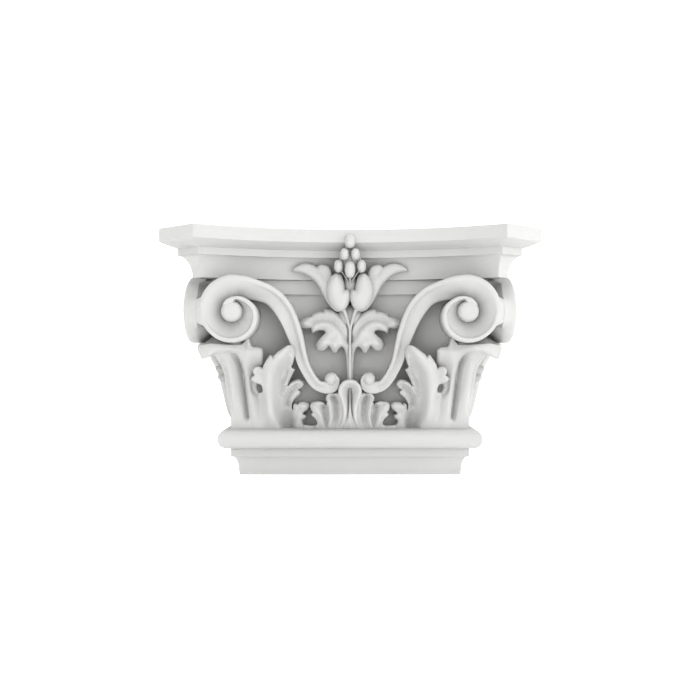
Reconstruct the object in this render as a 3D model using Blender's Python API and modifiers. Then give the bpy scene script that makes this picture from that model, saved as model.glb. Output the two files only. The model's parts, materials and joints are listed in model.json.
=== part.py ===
"""A pilaster capital cast in one piece.

The capital has a moulded abacus with concave sides and cut-off horns, a bell, corner volutes
whose scrolls run down to two small curls, corner leaves, acanthus leaves and a small centre
leaf below, a spray with two buds and a bunch of berries over the abacus, and an astragal with a
short neck that sits on the pilaster.

One carved half of the front is designed in face coordinates: s runs along the face from its
middle, h stands out from the column's axis, and z goes up from the bed. The other front half and
the two sides are its mirror images, and everything is cut off flat where it meets the wall.
"""
import math

import bmesh
import bpy
import numpy as np
from mathutils import Matrix, Vector
from mathutils.geometry import delaunay_2d_cdt

# Sizes are in millimetres; an object's mesh is made in metres
MM = 0.001

# Overall sizes
ABACUS_HALF = 200.0        # half width over the horns, also their reach in front of the axis
HORN_HALF = 157.7          # from the middle of a face to the corner of its horn
ABACUS_SAG = 51.9          # how deep a concave side of the abacus is
HEIGHT = 262.2
WALL = 50.0                # distance from the column's axis forward to the wall
SHAFT_HALF = 119.5         # half width of the bed that sits on the pilaster
BED_MIDDLE = (WALL + SHAFT_HALF) / 2
PAST_WALL = 12.0           # bell and abacus run this far behind the wall before they are cut

# Mouldings of the abacus: height and inset from the fascia
FASCIA_BOTTOM = 248.8
SOFFIT_BOTTOM = 241.4
FILLET_BOTTOM = 233.9
FILLET_INSET = 15.0
COVE_BOTTOM = 210.8
COVE_INSET = 26.9
LIP_BOTTOM = 195.3
LIP_INSET = 29.0

# Bell, astragal and neck
BELL_FOOT = 113.0          # distance of the bell's face from the axis at its foot
BELL_SAG_RADIUS = 300.5
BELL_CORNER_FOOT = 113.0
BELL_CORNER_TOP = 134.0
BELL_HOLLOW_TOP = 150.0    # above this height the bell is as concave as the abacus
BELL_LEVELS = (40.0, 75.0, 100.0, 125.0, 150.0, 195.3)
COVE_TURNS = (25, 50, 75)  # degrees round the quarter hollow under the fillet
ASTRAGAL_BOTTOM = 29.3
ASTRAGAL_TOP = 50.5
ASTRAGAL_CENTRE = 130.7
NECK_FILLET = 128.3
NECK_FILLET_BOTTOM = 20.4
NECK_COVE_BOTTOM = 6.0
NECK_COVE_INSET = 1.0
NECK_COVE_STEP = 1.0       # the hollow stops this much short of the fillet above it
NECK_COVE_TURNS = (30, 60, 90)
TORUS_TURN = 22

# Volute: eye centre, and its rim's radius at each turning angle from the top outwards
EYE = (123.0, 175.5)
EYE_RADIUS = 10.8
EYE_DOME = 8.5             # half thickness of the eye's round boss
RIM_RADII = ((-30, 40.0), (0, 38.0), (45, 35.3), (90, 32.6), (135, 32.4), (180, 32.8),
             (225, 31.0), (270, 26.5), (300, 21.8), (337, 16.8), (360, 14.5))
RIM_WIDTH = 5.0
VOLUTE_FRONT = 175.5
VOLUTE_BACK = 127.0
RIM_EDGE = 1.5             # the rim is rounded off by this much
FLOOR_DEPTH = 12.0
FLOOR_STEP = 3.0           # the rim's inner edge is this high where it is crisp, low and outwards
WALL_SPREAD = 7.0          # the volute's outer wall widens backwards by this much

# Scroll from the volute down to the small curl: outer edge, inner edge, front
SCROLL = (((141.0, 208.0), (129.5, 187.0), 175.4),
          ((122.5, 213.5), (122.0, 189.5), 175.0),
          ((103.0, 210.5), (108.5, 190.0), 171.0),
          ((78.5, 200.5), (89.0, 184.0), 160.0),
          ((61.5, 182.5), (75.0, 167.0), 153.0),
          ((51.0, 154.5), (65.0, 144.5), 146.0),
          ((44.0, 122.5), (55.0, 117.0), 140.0),
          ((33.5, 103.5), (41.0, 95.0), 136.5),
          ((24.0, 98.5), (25.0, 88.0), 135.0),
          ((16.0, 98.2), (14.0, 93.0), 134.5),
          ((12.8, 103.0), (11.3, 103.0), 134.0))
SCROLL_RIM = 4.2
SCROLL_STEP = 2.6
SCROLL_SOFT = 1.4
SCROLL_INTO_EYE = (8, 2)   # from the first to the second section it deepens to the volute's floor
CURL = (20.0, 104.0)
CURL_RADIUS = 7.3
CURL_FRONT = 137.0

# Corner leaf: how far it flares out at each height, and the lines that its columns follow
LEAF_FOOT = 128.3
FLARE = ((46.0, 0.0), (82.0, 0.3), (103.0, 2.3), (114.0, 4.6), (124.5, 10.3), (130.5, 18.0),
         (134.7, 32.0))
RIDGE_LINE = ((46.0, 100.0), (82.0, 106.0), (103.0, 109.0), (119.0, 110.0), (134.7, 111.0))
INNER_LINE = ((46.0, 88.0), (86.0, 94.0), (98.0, 99.0), (120.0, 92.0), (130.0, 92.0),
              (134.7, 95.0))
LIP_DROOP = 9.0            # the corner's tip hangs this much below the rest of the lip
LOBE_DROOP = 11.0          # and the lobe beside the acanthus this much
LIP_ROUNDING = 5.0         # how far the lip is rounded back on the diagonal
LIP_HANGS = (20.0, 32.0)   # the droop grows from the first to the second flare
LIP_EDGE = 2.0
LIP_DEPTH = 12.0
LIP_RISE = 7.0             # the lip's back rises this much, up into the volute
GROOVE_PLACE = 0.39        # the flute lies at this part of the way from the ridge to the corner
GROOVE_HALF = 0.10
GROOVE_DEPTH = 5.0
# Columns of the leaf: place (1 corner, 0 ridge, -1 inner edge), how far raised, height of its top
LEAF_COLUMNS = ((1.0, 0.0, 141.2), (0.75, 0.6, 142.8), (GROOVE_PLACE + GROOVE_HALF, 0.6, 141.7),
                (GROOVE_PLACE, -GROOVE_DEPTH, 141.3), (GROOVE_PLACE - GROOVE_HALF, 0.6, 140.6),
                (0.14, 0.8, 140.2), (0.0, 2.5, 147.5), (-0.4, 0.0, 138.0), (-0.7, -0.5, 137.8),
                (-1.0, -3.5, 135.0))
# Buried back of the leaf, from the top down: flare and height
LEAF_BACK = ((-16.0, 112.0), (-20.0, 46.0))
# Strips of the leaf's open end
LEAF_END = [(0, 1, 12), (1, 2, 11, 12), (2, 3, 11), (3, 4, 10, 11), (4, 5, 10), (5, 6, 9, 10),
            (6, 7, 8, 9)]

# Acanthus leaf: corners and the point that each edge passes through between them
ACANTHUS = ((88.5, 46.0), (92.5, 70.0), (93.5, 95.0), (97.0, 99.5), (105.0, 104.5),
            (102.0, 110.5), (97.0, 117.5), (92.0, 118.5), (83.5, 130.0), (74.0, 133.0),
            (63.0, 140.0), (58.0, 131.0), (62.5, 117.0), (60.5, 115.0), (59.0, 114.0),
            (61.5, 106.5), (66.5, 97.0), (57.5, 102.5), (49.5, 98.0), (53.0, 93.5),
            (55.5, 92.5), (53.5, 90.5), (54.0, 87.0), (61.0, 82.0), (62.5, 71.0),
            (60.5, 75.5), (57.0, 76.5), (51.0, 79.5), (43.5, 75.5), (46.0, 70.0),
            (50.5, 66.5), (47.5, 65.5), (47.5, 62.0), (51.0, 57.5), (48.5, 46.0), (68.0, 46.0))
ACANTHUS_RIDGE = ((80.0, 50.0), (85.0, 70.0), (91.5, 93.0), (89.0, 109.0), (80.0, 124.0),
                  (68.0, 135.0))
ACANTHUS_VALLEY = ((76.0, 70.0), (77.5, 100.0), (69.0, 127.0))
LOBE_VALLEY = ((67.5, 79.0), (64.0, 90.0), (56.0, 98.5))
ACANTHUS_LEAN = ((46.0, 131.0), (80.0, 139.5), (109.0, 146.0), (125.0, 151.0), (141.0, 155.0))
ACANTHUS_FREE = (84.0, 106.0)   # between these heights the leaf leaves the bell
LEAF_THICKNESS = 11.0
EDGE_WIDTH = 4.0           # a leaf's edge is rounded over this width
EDGE_DEPTH = 2.5           # and by this depth

# Leaves beside the middle
OUTER_LOBE = ((30.5, 46.0), (32.5, 50.0), (37.5, 54.0), (35.3, 58.0), (37.5, 61.5),
              (40.8, 64.5), (40.0, 69.5), (42.0, 73.0), (42.0, 77.5), (33.0, 80.3),
              (24.0, 74.5), (20.0, 60.0), (18.0, 46.0), (24.0, 46.0))
INNER_LOBE = ((27.0, 46.0), (28.0, 62.0), (24.0, 76.0), (25.5, 81.0), (25.0, 86.0),
              (19.0, 89.0), (11.0, 87.5), (9.0, 66.0), (8.0, 46.0), (18.0, 46.0))
OUTER_RIDGE = ((33.0, 74.0), (32.5, 60.0), (26.0, 50.0))
INNER_RIDGE = ((19.5, 82.0), (19.0, 66.0), (22.0, 52.0))
LOBE_FRONT = 136.0
OUTER_TILT = 2.0
INNER_TILT = 0.5
MIDDLE_LEAF = ((0.0, 104.0), (5.5, 102.5), (10.0, 98.0), (12.0, 88.0), (8.0, 71.0),
               (9.0, 58.0), (14.0, 46.0))
MIDDLE_RIB = ((0.0, 92.0), (0.0, 70.0), (0.0, 52.0))
MIDDLE_LEAF_FRONT = 139.0
MIDDLE_HOLLOW = 4.0

# Spray: hanging leaf, petal, buds, berries and stems
HANGING_LEAF = ((1.0, 156.5), (8.0, 170.5), (25.0, 179.5), (28.5, 178.0), (29.0, 176.5),
                (35.0, 175.8), (41.5, 172.0), (48.0, 168.5), (53.5, 163.0), (50.0, 158.0),
                (42.0, 158.5), (40.8, 155.0), (41.0, 152.0), (33.0, 156.0), (26.5, 154.0),
                (34.5, 146.0), (35.5, 135.5), (29.0, 134.0), (22.5, 139.5), (20.0, 134.5),
                (16.5, 132.0), (13.5, 134.0), (10.0, 138.5), (5.5, 133.5), (4.0, 120.0),
                (2.5, 118.0), (1.0, 118.0), (1.0, 137.0))
HANGING_CREASE = ((42.0, 162.0), (37.5, 166.0), (30.0, 167.0), (21.5, 165.0), (15.5, 158.5),
                  (5.5, 143.5))
HANGING_FRONT = 130.0
HANGING_BULGE = 9.0        # the lower part of the leaf swells forward round this centre
BULGE_CENTRE = (20.0, 146.0)
BULGE_WIDTH = 16.0
PETAL = ((62.0, 219.0), (53.0, 227.5), (35.0, 224.5), (28.5, 227.0), (18.5, 214.0),
         (12.0, 196.0), (10.0, 177.0), (30.0, 195.5), (44.0, 214.0), (53.0, 218.0))
PETAL_TIP_FRONT = 134.0
PETAL_ROOT_RISE = 8.0
BUD_PARTS = (((12.5, 196.0, 134.0), (11.0, 20.5, 14.0)), ((9.8, 188.5, 136.0), (9.8, 12.5, 14.5)))
BERRIES = (((0.0, 250.0, 147.0), (5.2, 7.4, 10.0)), ((5.6, 237.0, 146.0), (4.7, 6.4, 10.0)),
           ((12.0, 224.5, 142.0), (4.3, 6.8, 10.0)), ((0.0, 220.5, 146.0), (5.2, 8.4, 10.0)))
BUNCH = ((0.0, 231.0, 130.0), (13.0, 17.0, 12.0))
STEMS = (((1.0, 100.0, 127.0), (1.0, 146.0, 129.0), (2.5, 165.0, 131.0), (6.5, 180.0, 134.0)),
         ((0.0, 186.0, 128.0), (0.0, 200.0, 130.0), (0.0, 222.0, 136.0), (0.0, 248.0, 144.0)))
STEM_RADIUS = 2.6

BURIED = 106.0             # backs of the carving end here, inside the bell

# How fine the facets are
NET = 8.0                  # spacing of the net of a leaf
FINE_NET = 5.0
NET_ROOM = 0.45            # part of the spacing that the net keeps clear of an outline or crease
EDGE_STEP = 6.0            # longest step along a leaf's edge
ARC_PARTS = 12             # parts of a concave front
TURN_STEP = 18             # degrees between two points of the volute's rim
SHARP_ANGLE = math.radians(35)

PLASTER = (0.86, 0.86, 0.85, 1.0)
PLASTER_ROUGHNESS = 0.75


def smooth_step(low, high, value):
    """A soft rise from 0 at low to 1 at high."""
    part = np.clip((value - low) / (high - low), 0.0, 1.0)
    return part * part * (3.0 - 2.0 * part)


def along(table, value):
    """The number that a table of (place, number) pairs gives at a place."""
    return np.interp(value, [row[0] for row in table], [row[1] for row in table])


def through(points, parts):
    """A smooth open curve through points, with some parts between each two of them."""
    knots = np.array(points, dtype=float)
    first = 2.0 * knots[0] - knots[1]
    last = 2.0 * knots[-1] - knots[-2]
    knots = np.vstack([first, knots, last])
    curve = []
    for a, b, c, d in zip(knots, knots[1:], knots[2:], knots[3:]):
        for step in range(parts):
            t = step / parts
            bend = (2 * a - 5 * b + 4 * c - d) * t * t + (3 * b - a - 3 * c + d) * t ** 3
            curve.append(b + 0.5 * ((c - a) * t + bend))
    curve.append(knots[-2])
    return np.array(curve)


def arc(start, via, end, step):
    """Points from start towards end on the circle through all three, without the end."""
    start, via, end = (np.array(point, dtype=float) for point in (start, via, end))
    length = np.linalg.norm(via - start) + np.linalg.norm(end - via)
    parts = max(1, round(length / step))
    middle = 2.0 * via - 0.5 * (start + end)
    t = np.arange(parts)[:, None] / parts
    return (1 - t) ** 2 * start + 2 * t * (1 - t) * middle + t ** 2 * end


def outline(corners, step=EDGE_STEP):
    """A closed outline from corner, point passed through, corner and so on."""
    pieces = []
    for index in range(0, len(corners), 2):
        via = corners[index + 1]
        end = corners[(index + 2) % len(corners)]
        pieces.append(arc(corners[index], via, end, step))
    return np.vstack(pieces)


def distance(points, line, closed=False):
    """Distance of each point from a line of straight runs."""
    starts = np.array(line, dtype=float)
    ends = np.roll(starts, -1, axis=0)
    if not closed:
        starts, ends = starts[:-1], ends[:-1]
    runs = ends - starts
    lengths = np.maximum((runs ** 2).sum(axis=1), 1e-9)
    offsets = points[:, None, :] - starts[None, :, :]
    part = np.clip((offsets * runs).sum(axis=2) / lengths, 0.0, 1.0)
    return np.linalg.norm(offsets - part[:, :, None] * runs, axis=2).min(axis=1)


def inside(points, loop):
    """Which points lie inside a closed outline."""
    result = np.zeros(len(points), dtype=bool)
    for a, b in zip(loop, np.roll(loop, -1, axis=0)):
        crosses = (a[1] > points[:, 1]) != (b[1] > points[:, 1])
        rise = b[1] - a[1]
        if abs(rise) > 1e-9:
            level = a[0] + (points[:, 1] - a[1]) * (b[0] - a[0]) / rise
            result ^= crosses & (points[:, 0] < level)
    return result


def fold(points, line, width, height):
    """A soft ridge, or a valley where height is negative, along a line."""
    return height * np.exp(-(distance(points, line) / width) ** 2)


def edge_drop(points, loop, width, depth):
    """How far the surface is rounded off near an outline."""
    part = np.clip(distance(points, loop, closed=True) / width, 0.0, 1.0)
    return depth * (1.0 - np.sqrt(1.0 - (1.0 - part) ** 2))


def buried(points):
    """A flat back inside the bell."""
    return np.full(len(points), BURIED)


def net_points(loop, lines, spacing):
    """Points of an even net inside an outline that keep clear of it and of the lines."""
    low, high = loop.min(axis=0), loop.max(axis=0)
    grid = []
    for row, z in enumerate(np.arange(low[1], high[1], spacing * math.sqrt(3) / 2)):
        shift = 0.5 * spacing * (row % 2)
        grid += [(s, z) for s in np.arange(low[0] + shift, high[0], spacing)]
    grid = np.array(grid)
    room = NET_ROOM * spacing
    keep = inside(grid, loop) & (distance(grid, loop, closed=True) > room)
    for line in lines:
        keep &= distance(grid, line) > room
    return grid[keep]


def relief(loop, front, back, lines=(), extra=(), spacing=NET, spread=None):
    """A closed relief on an outline, with a front and a back height over one net."""
    points = [tuple(point) for point in loop]
    edges = [(i, (i + 1) % len(loop)) for i in range(len(loop))]
    for line in lines:
        start = len(points)
        points += [tuple(point) for point in line]
        edges += [(start + i, start + i + 1) for i in range(len(line) - 1)]
    points += [tuple(point) for point in extra]
    points += [tuple(point) for point in net_points(loop, lines, spacing)]
    net = delaunay_2d_cdt([Vector(point) for point in points], edges, [], 1, 0.01)
    flat = np.array([tuple(point) for point in net[0]])
    faces = [tuple(face) for face in net[2]]
    count = len(flat)
    behind = flat if spread is None else flat + spread(flat)
    verts = np.vstack([np.column_stack([flat[:, 0], front(flat), flat[:, 1]]),
                       np.column_stack([behind[:, 0], back(flat), behind[:, 1]])])
    sides = {(a, b) for face in faces for a, b in zip(face, face[1:] + face[:1])}
    shell = faces + [tuple(count + i for i in reversed(face)) for face in faces]
    shell += [(b, a, count + a, count + b) for a, b in sides if (b, a) not in sides]
    return verts, shell


def lofted(rings, cap=None):
    """A closed solid through rings of points that lie one after the other."""
    size = len(rings[0])
    cap = cap or [tuple(range(size))]
    verts = np.vstack(rings)
    last = len(verts) - size
    faces = [tuple(reversed(face)) for face in cap]
    faces += [tuple(last + i for i in face) for face in cap]
    for ring in range(len(rings) - 1):
        start = ring * size
        for i in range(size):
            j = (i + 1) % size
            faces.append((start + i, start + j, start + size + j, start + size + i))
    return verts, faces


def abacus_plan(inset):
    """Right half of the abacus in plan at an inset, from the middle of the front backwards."""
    radius = (HORN_HALF ** 2 + ABACUS_SAG ** 2) / (2 * ABACUS_SAG) + inset
    centre = ABACUS_HALF - ABACUS_SAG + radius - inset
    chamfer = ABACUS_HALF + HORN_HALF - inset * math.sqrt(2)
    shift = centre - chamfer
    corner = (math.sqrt(2 * radius ** 2 - shift ** 2) - shift) / 2
    front = [(x, centre - math.sqrt(radius ** 2 - x * x))
             for x in np.linspace(0.0, corner, ARC_PARTS // 2 + 1)]
    far = chamfer - corner
    side = [(centre - math.sqrt(radius ** 2 - e * e), e)
            for e in np.linspace(corner, WALL - PAST_WALL, ARC_PARTS // 3 + 1)]
    side[0] = (far, corner)
    return front + side


def bell_plan(z):
    """Right half of the bell in plan at a height."""
    hollow = float(smooth_step(ASTRAGAL_TOP, BELL_HOLLOW_TOP, z))
    rise = float(np.clip((z - ASTRAGAL_TOP) / (LIP_BOTTOM - ASTRAGAL_TOP), 0.0, 1.0))
    corner = BELL_CORNER_FOOT + (BELL_CORNER_TOP - BELL_CORNER_FOOT) * rise

    def face(x):
        return BELL_FOOT + hollow * (BELL_SAG_RADIUS - math.sqrt(BELL_SAG_RADIUS ** 2 - x * x))

    low, high = 60.0, corner
    for _ in range(40):
        middle = 0.5 * (low + high)
        if middle + face(middle) < 2 * corner:
            low = middle
        else:
            high = middle
    low = min(low, corner - 1.0)
    front = [(x, face(x)) for x in np.linspace(0.0, low, ARC_PARTS // 2 + 1)]
    side = [(face(e), e) for e in np.linspace(low, WALL - PAST_WALL, ARC_PARTS // 3 + 1)]
    return front + side


def whole_ring(half, z):
    """A full ring of points at a height from the right half of a plan."""
    left = [(-x, e) for x, e in reversed(half[1:])]
    return np.array([(x, e, z) for x, e in left + list(half)])


def block_solid():
    """The bell with the abacus on it."""
    rings = [whole_ring(bell_plan(z), z) for z in BELL_LEVELS]
    mouldings = [(LIP_BOTTOM, LIP_INSET), (COVE_BOTTOM, LIP_INSET), (COVE_BOTTOM, COVE_INSET)]
    cove_height = FILLET_BOTTOM - COVE_BOTTOM
    for angle in COVE_TURNS:
        turn = math.radians(angle)
        inset = FILLET_INSET + (COVE_INSET - FILLET_INSET) * math.cos(turn)
        mouldings.append((COVE_BOTTOM + cove_height * math.sin(turn), inset))
    mouldings += [(FILLET_BOTTOM, FILLET_INSET), (SOFFIT_BOTTOM, FILLET_INSET),
                  (FASCIA_BOTTOM, 0.0), (HEIGHT, 0.0)]
    rings += [whole_ring(abacus_plan(inset), z) for z, inset in mouldings]
    return lofted(rings)


def foot_profile():
    """Half width of the neck and astragal at each height, closed on the axis at both ends."""
    rows = [(0.0, 0.0), (SHAFT_HALF, 0.0), (SHAFT_HALF + NECK_COVE_INSET, NECK_COVE_BOTTOM)]
    rise = NECK_FILLET_BOTTOM - NECK_COVE_BOTTOM
    reach = NECK_FILLET - NECK_COVE_STEP - rows[-1][0]
    for angle in NECK_COVE_TURNS:
        turn = math.radians(angle)
        rows.append((SHAFT_HALF + NECK_COVE_INSET + reach * (1 - math.cos(turn)),
                     NECK_COVE_BOTTOM + rise * math.sin(turn)))
    rows += [(NECK_FILLET, NECK_FILLET_BOTTOM), (NECK_FILLET, ASTRAGAL_BOTTOM)]
    radius = (ASTRAGAL_TOP - ASTRAGAL_BOTTOM) / 2
    middle = (ASTRAGAL_TOP + ASTRAGAL_BOTTOM) / 2
    for angle in range(-90, 91, TORUS_TURN):
        turn = math.radians(angle)
        rows.append((ASTRAGAL_CENTRE + radius * math.cos(turn), middle + radius * math.sin(turn)))
    return rows + [(0.0, ASTRAGAL_TOP)]


def rim_radius(angle):
    """Radius of the volute's outer edge at a turning angle in degrees."""
    return along(RIM_RADII, angle)


def eye_turn(points):
    """Turning angle from the top outwards, and distance from the eye, of points on the face."""
    across = points[:, 0] - EYE[0]
    up = points[:, 1] - EYE[1]
    return np.degrees(np.arctan2(across, up)) % 360.0, np.hypot(across, up)


def volute_floor(points):
    """Front of the volute: a raised rim, and a channel that deepens towards the eye."""
    angle, reach = eye_turn(points)
    edge = rim_radius(angle) - reach
    room = np.maximum(rim_radius(angle) - RIM_WIDTH - EYE_RADIUS, 1.0)
    part = np.clip((edge - RIM_WIDTH + 0.5) / room, 0.0, 1.0)
    step = FLOOR_STEP * smooth_step(120.0, 250.0, angle)
    depth = np.where(part > 0.0, step + (FLOOR_DEPTH - step) * part ** 0.8, 0.0)
    rounded = RIM_EDGE * (1.0 - smooth_step(0.0, RIM_EDGE, edge))
    fall = 0.5 * (1.0 - smooth_step(0.0, 60.0, angle))
    return VOLUTE_FRONT - fall - depth - rounded


def volute():
    """The volute's disc, with the spiral as its outline."""
    turns = np.arange(0, 360 - TURN_STEP + 1, TURN_STEP)

    def ring(inset):
        radii = np.maximum(rim_radius(turns) - inset, EYE_RADIUS * 0.9)
        angles = np.radians(turns)
        return np.column_stack([EYE[0] + radii * np.sin(angles), EYE[1] + radii * np.cos(angles)])

    loop = np.vstack([ring(0.0), [EYE[0], EYE[1] + rim_radius(360)]])
    extra = np.vstack([ring(1.5), ring(RIM_WIDTH - 0.5), ring(RIM_WIDTH + 1.0), ring(12.0),
                       ring(99.0), [EYE]])
    extra = extra[inside(extra, loop) & (distance(extra, loop, closed=True) > 1.0)]

    def spread(points):
        angle, reach = eye_turn(points)
        amount = WALL_SPREAD * np.sin(np.radians(np.clip(angle, 0.0, 200.0) * 0.9))
        amount = np.where(reach > rim_radius(angle) - 1.0, amount, 0.0)
        return (points - EYE) / np.maximum(reach, 1.0)[:, None] * amount[:, None]

    return relief(loop, volute_floor, lambda p: np.full(len(p), VOLUTE_BACK),
                  extra=extra, spacing=999.0, spread=spread)


def scroll():
    """The band from the volute's top down to the small curl."""
    parts = 2
    outer = through([row[0] for row in SCROLL], parts)
    inner = through([row[1] for row in SCROLL], parts)
    front = through([(row[2],) for row in SCROLL], parts)[:, 0]
    rings = []
    for index, (a, b, top) in enumerate(zip(outer, inner, front)):
        width = np.linalg.norm(b - a)
        soft = min(SCROLL_SOFT, 0.15 * width)
        rim = min(SCROLL_RIM, 0.4 * width)
        into = float(smooth_step(*SCROLL_INTO_EYE, index))
        low = SCROLL_STEP + (FLOOR_DEPTH - SCROLL_STEP) * into
        left = top - low * (0.4 + 0.6 * into)
        back = BURIED + 16.0 * into
        section = ((0.0, back), (0.0, top - soft), (soft, top), (rim, top),
                   (rim + 0.5 * soft, top - SCROLL_STEP), (width - soft, left),
                   (width, left - soft), (width, back))
        ring = []
        for place, height in section:
            s, z = a + (b - a) * place / width
            ring.append((s, height, z))
        rings.append(np.array(ring))
    return lofted(rings)


def leaf_column(place, raised, top):
    """One column of the corner leaf, from its foot up over the lip and down its buried back."""
    round_off = LIP_ROUNDING * float(smooth_step(0.55, 1.0, place))
    droop = LIP_DROOP * float(smooth_step(0.5, 1.0, place))
    droop += LOBE_DROOP * float(smooth_step(-0.1, -0.7, place))
    foot, rim = FLARE[0][0], FLARE[-1][0]
    rows = []
    for z, flare in FLARE:
        flare = flare * (1.0 - round_off / FLARE[-1][1])
        level = z - droop * float(smooth_step(*LIP_HANGS, flare + round_off))
        rows.append((flare + raised * float(smooth_step(foot + 4.0, foot + 16.0, z)), level, z))
    lip = rows[-1][0]
    back_top = top + LIP_RISE * float(smooth_step(-0.3, 0.05, place))
    rows += [(lip + 0.3 * LIP_EDGE, top - LIP_EDGE, rim), (lip - LIP_EDGE, top, rim),
             (lip - LIP_DEPTH, back_top, rim), (-LIP_DEPTH, back_top, rim)]
    rows += [(flare, level, foot) for flare, level in LEAF_BACK]
    points = []
    for flare, level, z in rows:
        h = LEAF_FOOT + flare
        ridge = float(along(RIDGE_LINE, z))
        if place >= 0.0:
            s = ridge + place * (h - ridge)
        else:
            s = ridge - place * (float(along(INNER_LINE, z)) - ridge)
        points.append((s, h, level))
    return np.array(points)


def corner_leaf():
    """The fluted leaf under a corner, symmetric about the diagonal."""
    columns = [leaf_column(*column) for column in LEAF_COLUMNS]
    mirrored = [column[:, [1, 0, 2]] for column in reversed(columns[1:])]
    return lofted(mirrored + columns, LEAF_END)


def acanthus():
    """The large leaf beside the corner leaf."""
    loop = outline(ACANTHUS)
    ridge = through(ACANTHUS_RIDGE, 2)
    valley = through(ACANTHUS_VALLEY, 2)
    lobe = through(LOBE_VALLEY, 2)

    def front(points):
        lean = along(ACANTHUS_LEAN, points[:, 1])
        shape = fold(points, ridge, 8.0, 4.5) + fold(points, valley, 6.0, -3.0)
        shape += fold(points, lobe, 4.0, -2.5)
        return lean + shape - edge_drop(points, loop, EDGE_WIDTH, EDGE_DEPTH)

    def back(points):
        lean = along(ACANTHUS_LEAN, points[:, 1])
        free = smooth_step(*ACANTHUS_FREE, points[:, 1])
        return BURIED + free * (lean - LEAF_THICKNESS - BURIED)

    return relief(loop, front, back, lines=(ridge, valley))


def lobe(corners, ridge_points, tilt):
    """A small curled leaf beside the middle."""
    loop = outline(corners)
    ridge = through(ridge_points, 2)

    def front(points):
        rise = tilt * smooth_step(50.0, 80.0, points[:, 1])
        rise += fold(points, ridge, 4.0, 2.5)
        return LOBE_FRONT + rise - edge_drop(points, loop, EDGE_WIDTH, EDGE_DEPTH)

    return relief(loop, front, buried, lines=(ridge,))


def middle_leaf():
    """The leaf on the middle of the face, hollowed between its edges."""
    right = through(MIDDLE_LEAF, 2)
    left = right[::-1] * (-1.0, 1.0)
    loop = np.vstack([right, left[:-1]])

    def front(points):
        edge = distance(points, loop[:-1])
        hollow = smooth_step(3.0, 7.0, edge) * smooth_step(60.0, 75.0, points[:, 1])
        tongue = np.exp(-(points[:, 0] / 2.5) ** 2) * smooth_step(96.0, 88.0, points[:, 1])
        return MIDDLE_LEAF_FRONT + MIDDLE_HOLLOW * (tongue - hollow) \
            - edge_drop(points, loop, 3.0, EDGE_DEPTH)

    return relief(loop, front, buried, lines=(np.array(MIDDLE_RIB),), spacing=FINE_NET)


def hanging_leaf():
    """The drooping leaf of the spray."""
    loop = outline(HANGING_LEAF)
    crease = through(HANGING_CREASE, 2)

    def front(points):
        away = np.linalg.norm(points - BULGE_CENTRE, axis=1) / BULGE_WIDTH
        swell = HANGING_BULGE * np.exp(-away ** 2) + fold(points, crease, 5.0, -2.0)
        return HANGING_FRONT + swell - edge_drop(points, loop, EDGE_WIDTH, EDGE_DEPTH)

    return relief(loop, front, buried, lines=(crease,))


def petal():
    """The petal that spreads over the lip of the bell."""
    loop = outline(PETAL)

    def front(points):
        near = smooth_step(60.0, 15.0, points[:, 0])
        return PETAL_TIP_FRONT + PETAL_ROOT_RISE * near \
            - edge_drop(points, loop, EDGE_WIDTH, EDGE_DEPTH)

    return relief(loop, front, buried)


def as_solid(shape):
    """Points and faces of a mesh under construction, which is then freed."""
    shape.verts.index_update()
    verts = np.array([tuple(vert.co) for vert in shape.verts])
    faces = [tuple(vert.index for vert in face.verts) for face in shape.faces]
    shape.free()
    return verts, faces


def ball(centre, radii, round_parts, rows):
    """A round form with its own radius along each of s, z and h."""
    shape = bmesh.new()
    size = Matrix.Diagonal((radii[0], radii[2], radii[1], 1.0))
    place = Matrix.Translation((centre[0], centre[2], centre[1]))
    bmesh.ops.create_uvsphere(shape, u_segments=round_parts, v_segments=rows, radius=1.0,
                              matrix=place @ size)
    return as_solid(shape)


def rod(points, radius):
    """A round rod through points, as a bevelled curve made into a mesh."""
    curve = bpy.data.curves.new("rod", "CURVE")
    curve.dimensions = "3D"
    curve.bevel_depth = radius
    curve.bevel_resolution = 1
    curve.use_fill_caps = True
    route = through(points, 2)
    spline = curve.splines.new("POLY")
    spline.points.add(len(route) - 1)
    for point, (s, z, h) in zip(spline.points, route):
        point.co = (s, h, z, 1.0)
    item = bpy.data.objects.new("rod", curve)
    bpy.context.scene.collection.objects.link(item)
    mesh = bpy.data.meshes.new_from_object(item.evaluated_get(bpy.context.evaluated_depsgraph_get()))
    shape = bmesh.new()
    shape.from_mesh(mesh)
    bmesh.ops.remove_doubles(shape, verts=shape.verts, dist=0.001)
    bpy.data.objects.remove(item, do_unlink=True)
    bpy.data.curves.remove(curve)
    bpy.data.meshes.remove(mesh)
    return as_solid(shape)


def placed(solid, side):
    """A solid in face coordinates turned to plan coordinates on one side of the capital."""
    verts, faces = solid
    s, h, z = verts.T
    plan = {"front_right": (s, h, z), "front_left": (-s, h, z),
            "side_right": (h, s, z), "side_left": (-h, s, z)}[side]
    return np.column_stack(plan), faces


def make_object(name, solid, material, collection):
    """A closed object: x to the right, the front facing -y, z up, from the middle of the bed."""
    verts, faces = solid
    mesh = bpy.data.meshes.new(name)
    placed_verts = [(x * MM, (BED_MIDDLE - e) * MM, z * MM) for x, e, z in verts]
    mesh.from_pydata(placed_verts, [], faces)
    shape = bmesh.new()
    shape.from_mesh(mesh)
    bmesh.ops.remove_doubles(shape, verts=shape.verts, dist=0.00001)
    bmesh.ops.triangulate(shape, faces=[f for f in shape.faces if len(f.verts) > 4])
    bmesh.ops.recalc_face_normals(shape, faces=shape.faces)
    shape.to_mesh(mesh)
    shape.free()
    mesh.shade_smooth()
    mesh.set_sharp_from_angle(angle=SHARP_ANGLE)
    mesh.materials.append(material)
    item = bpy.data.objects.new(name, mesh)
    collection.objects.link(item)
    return item


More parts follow.
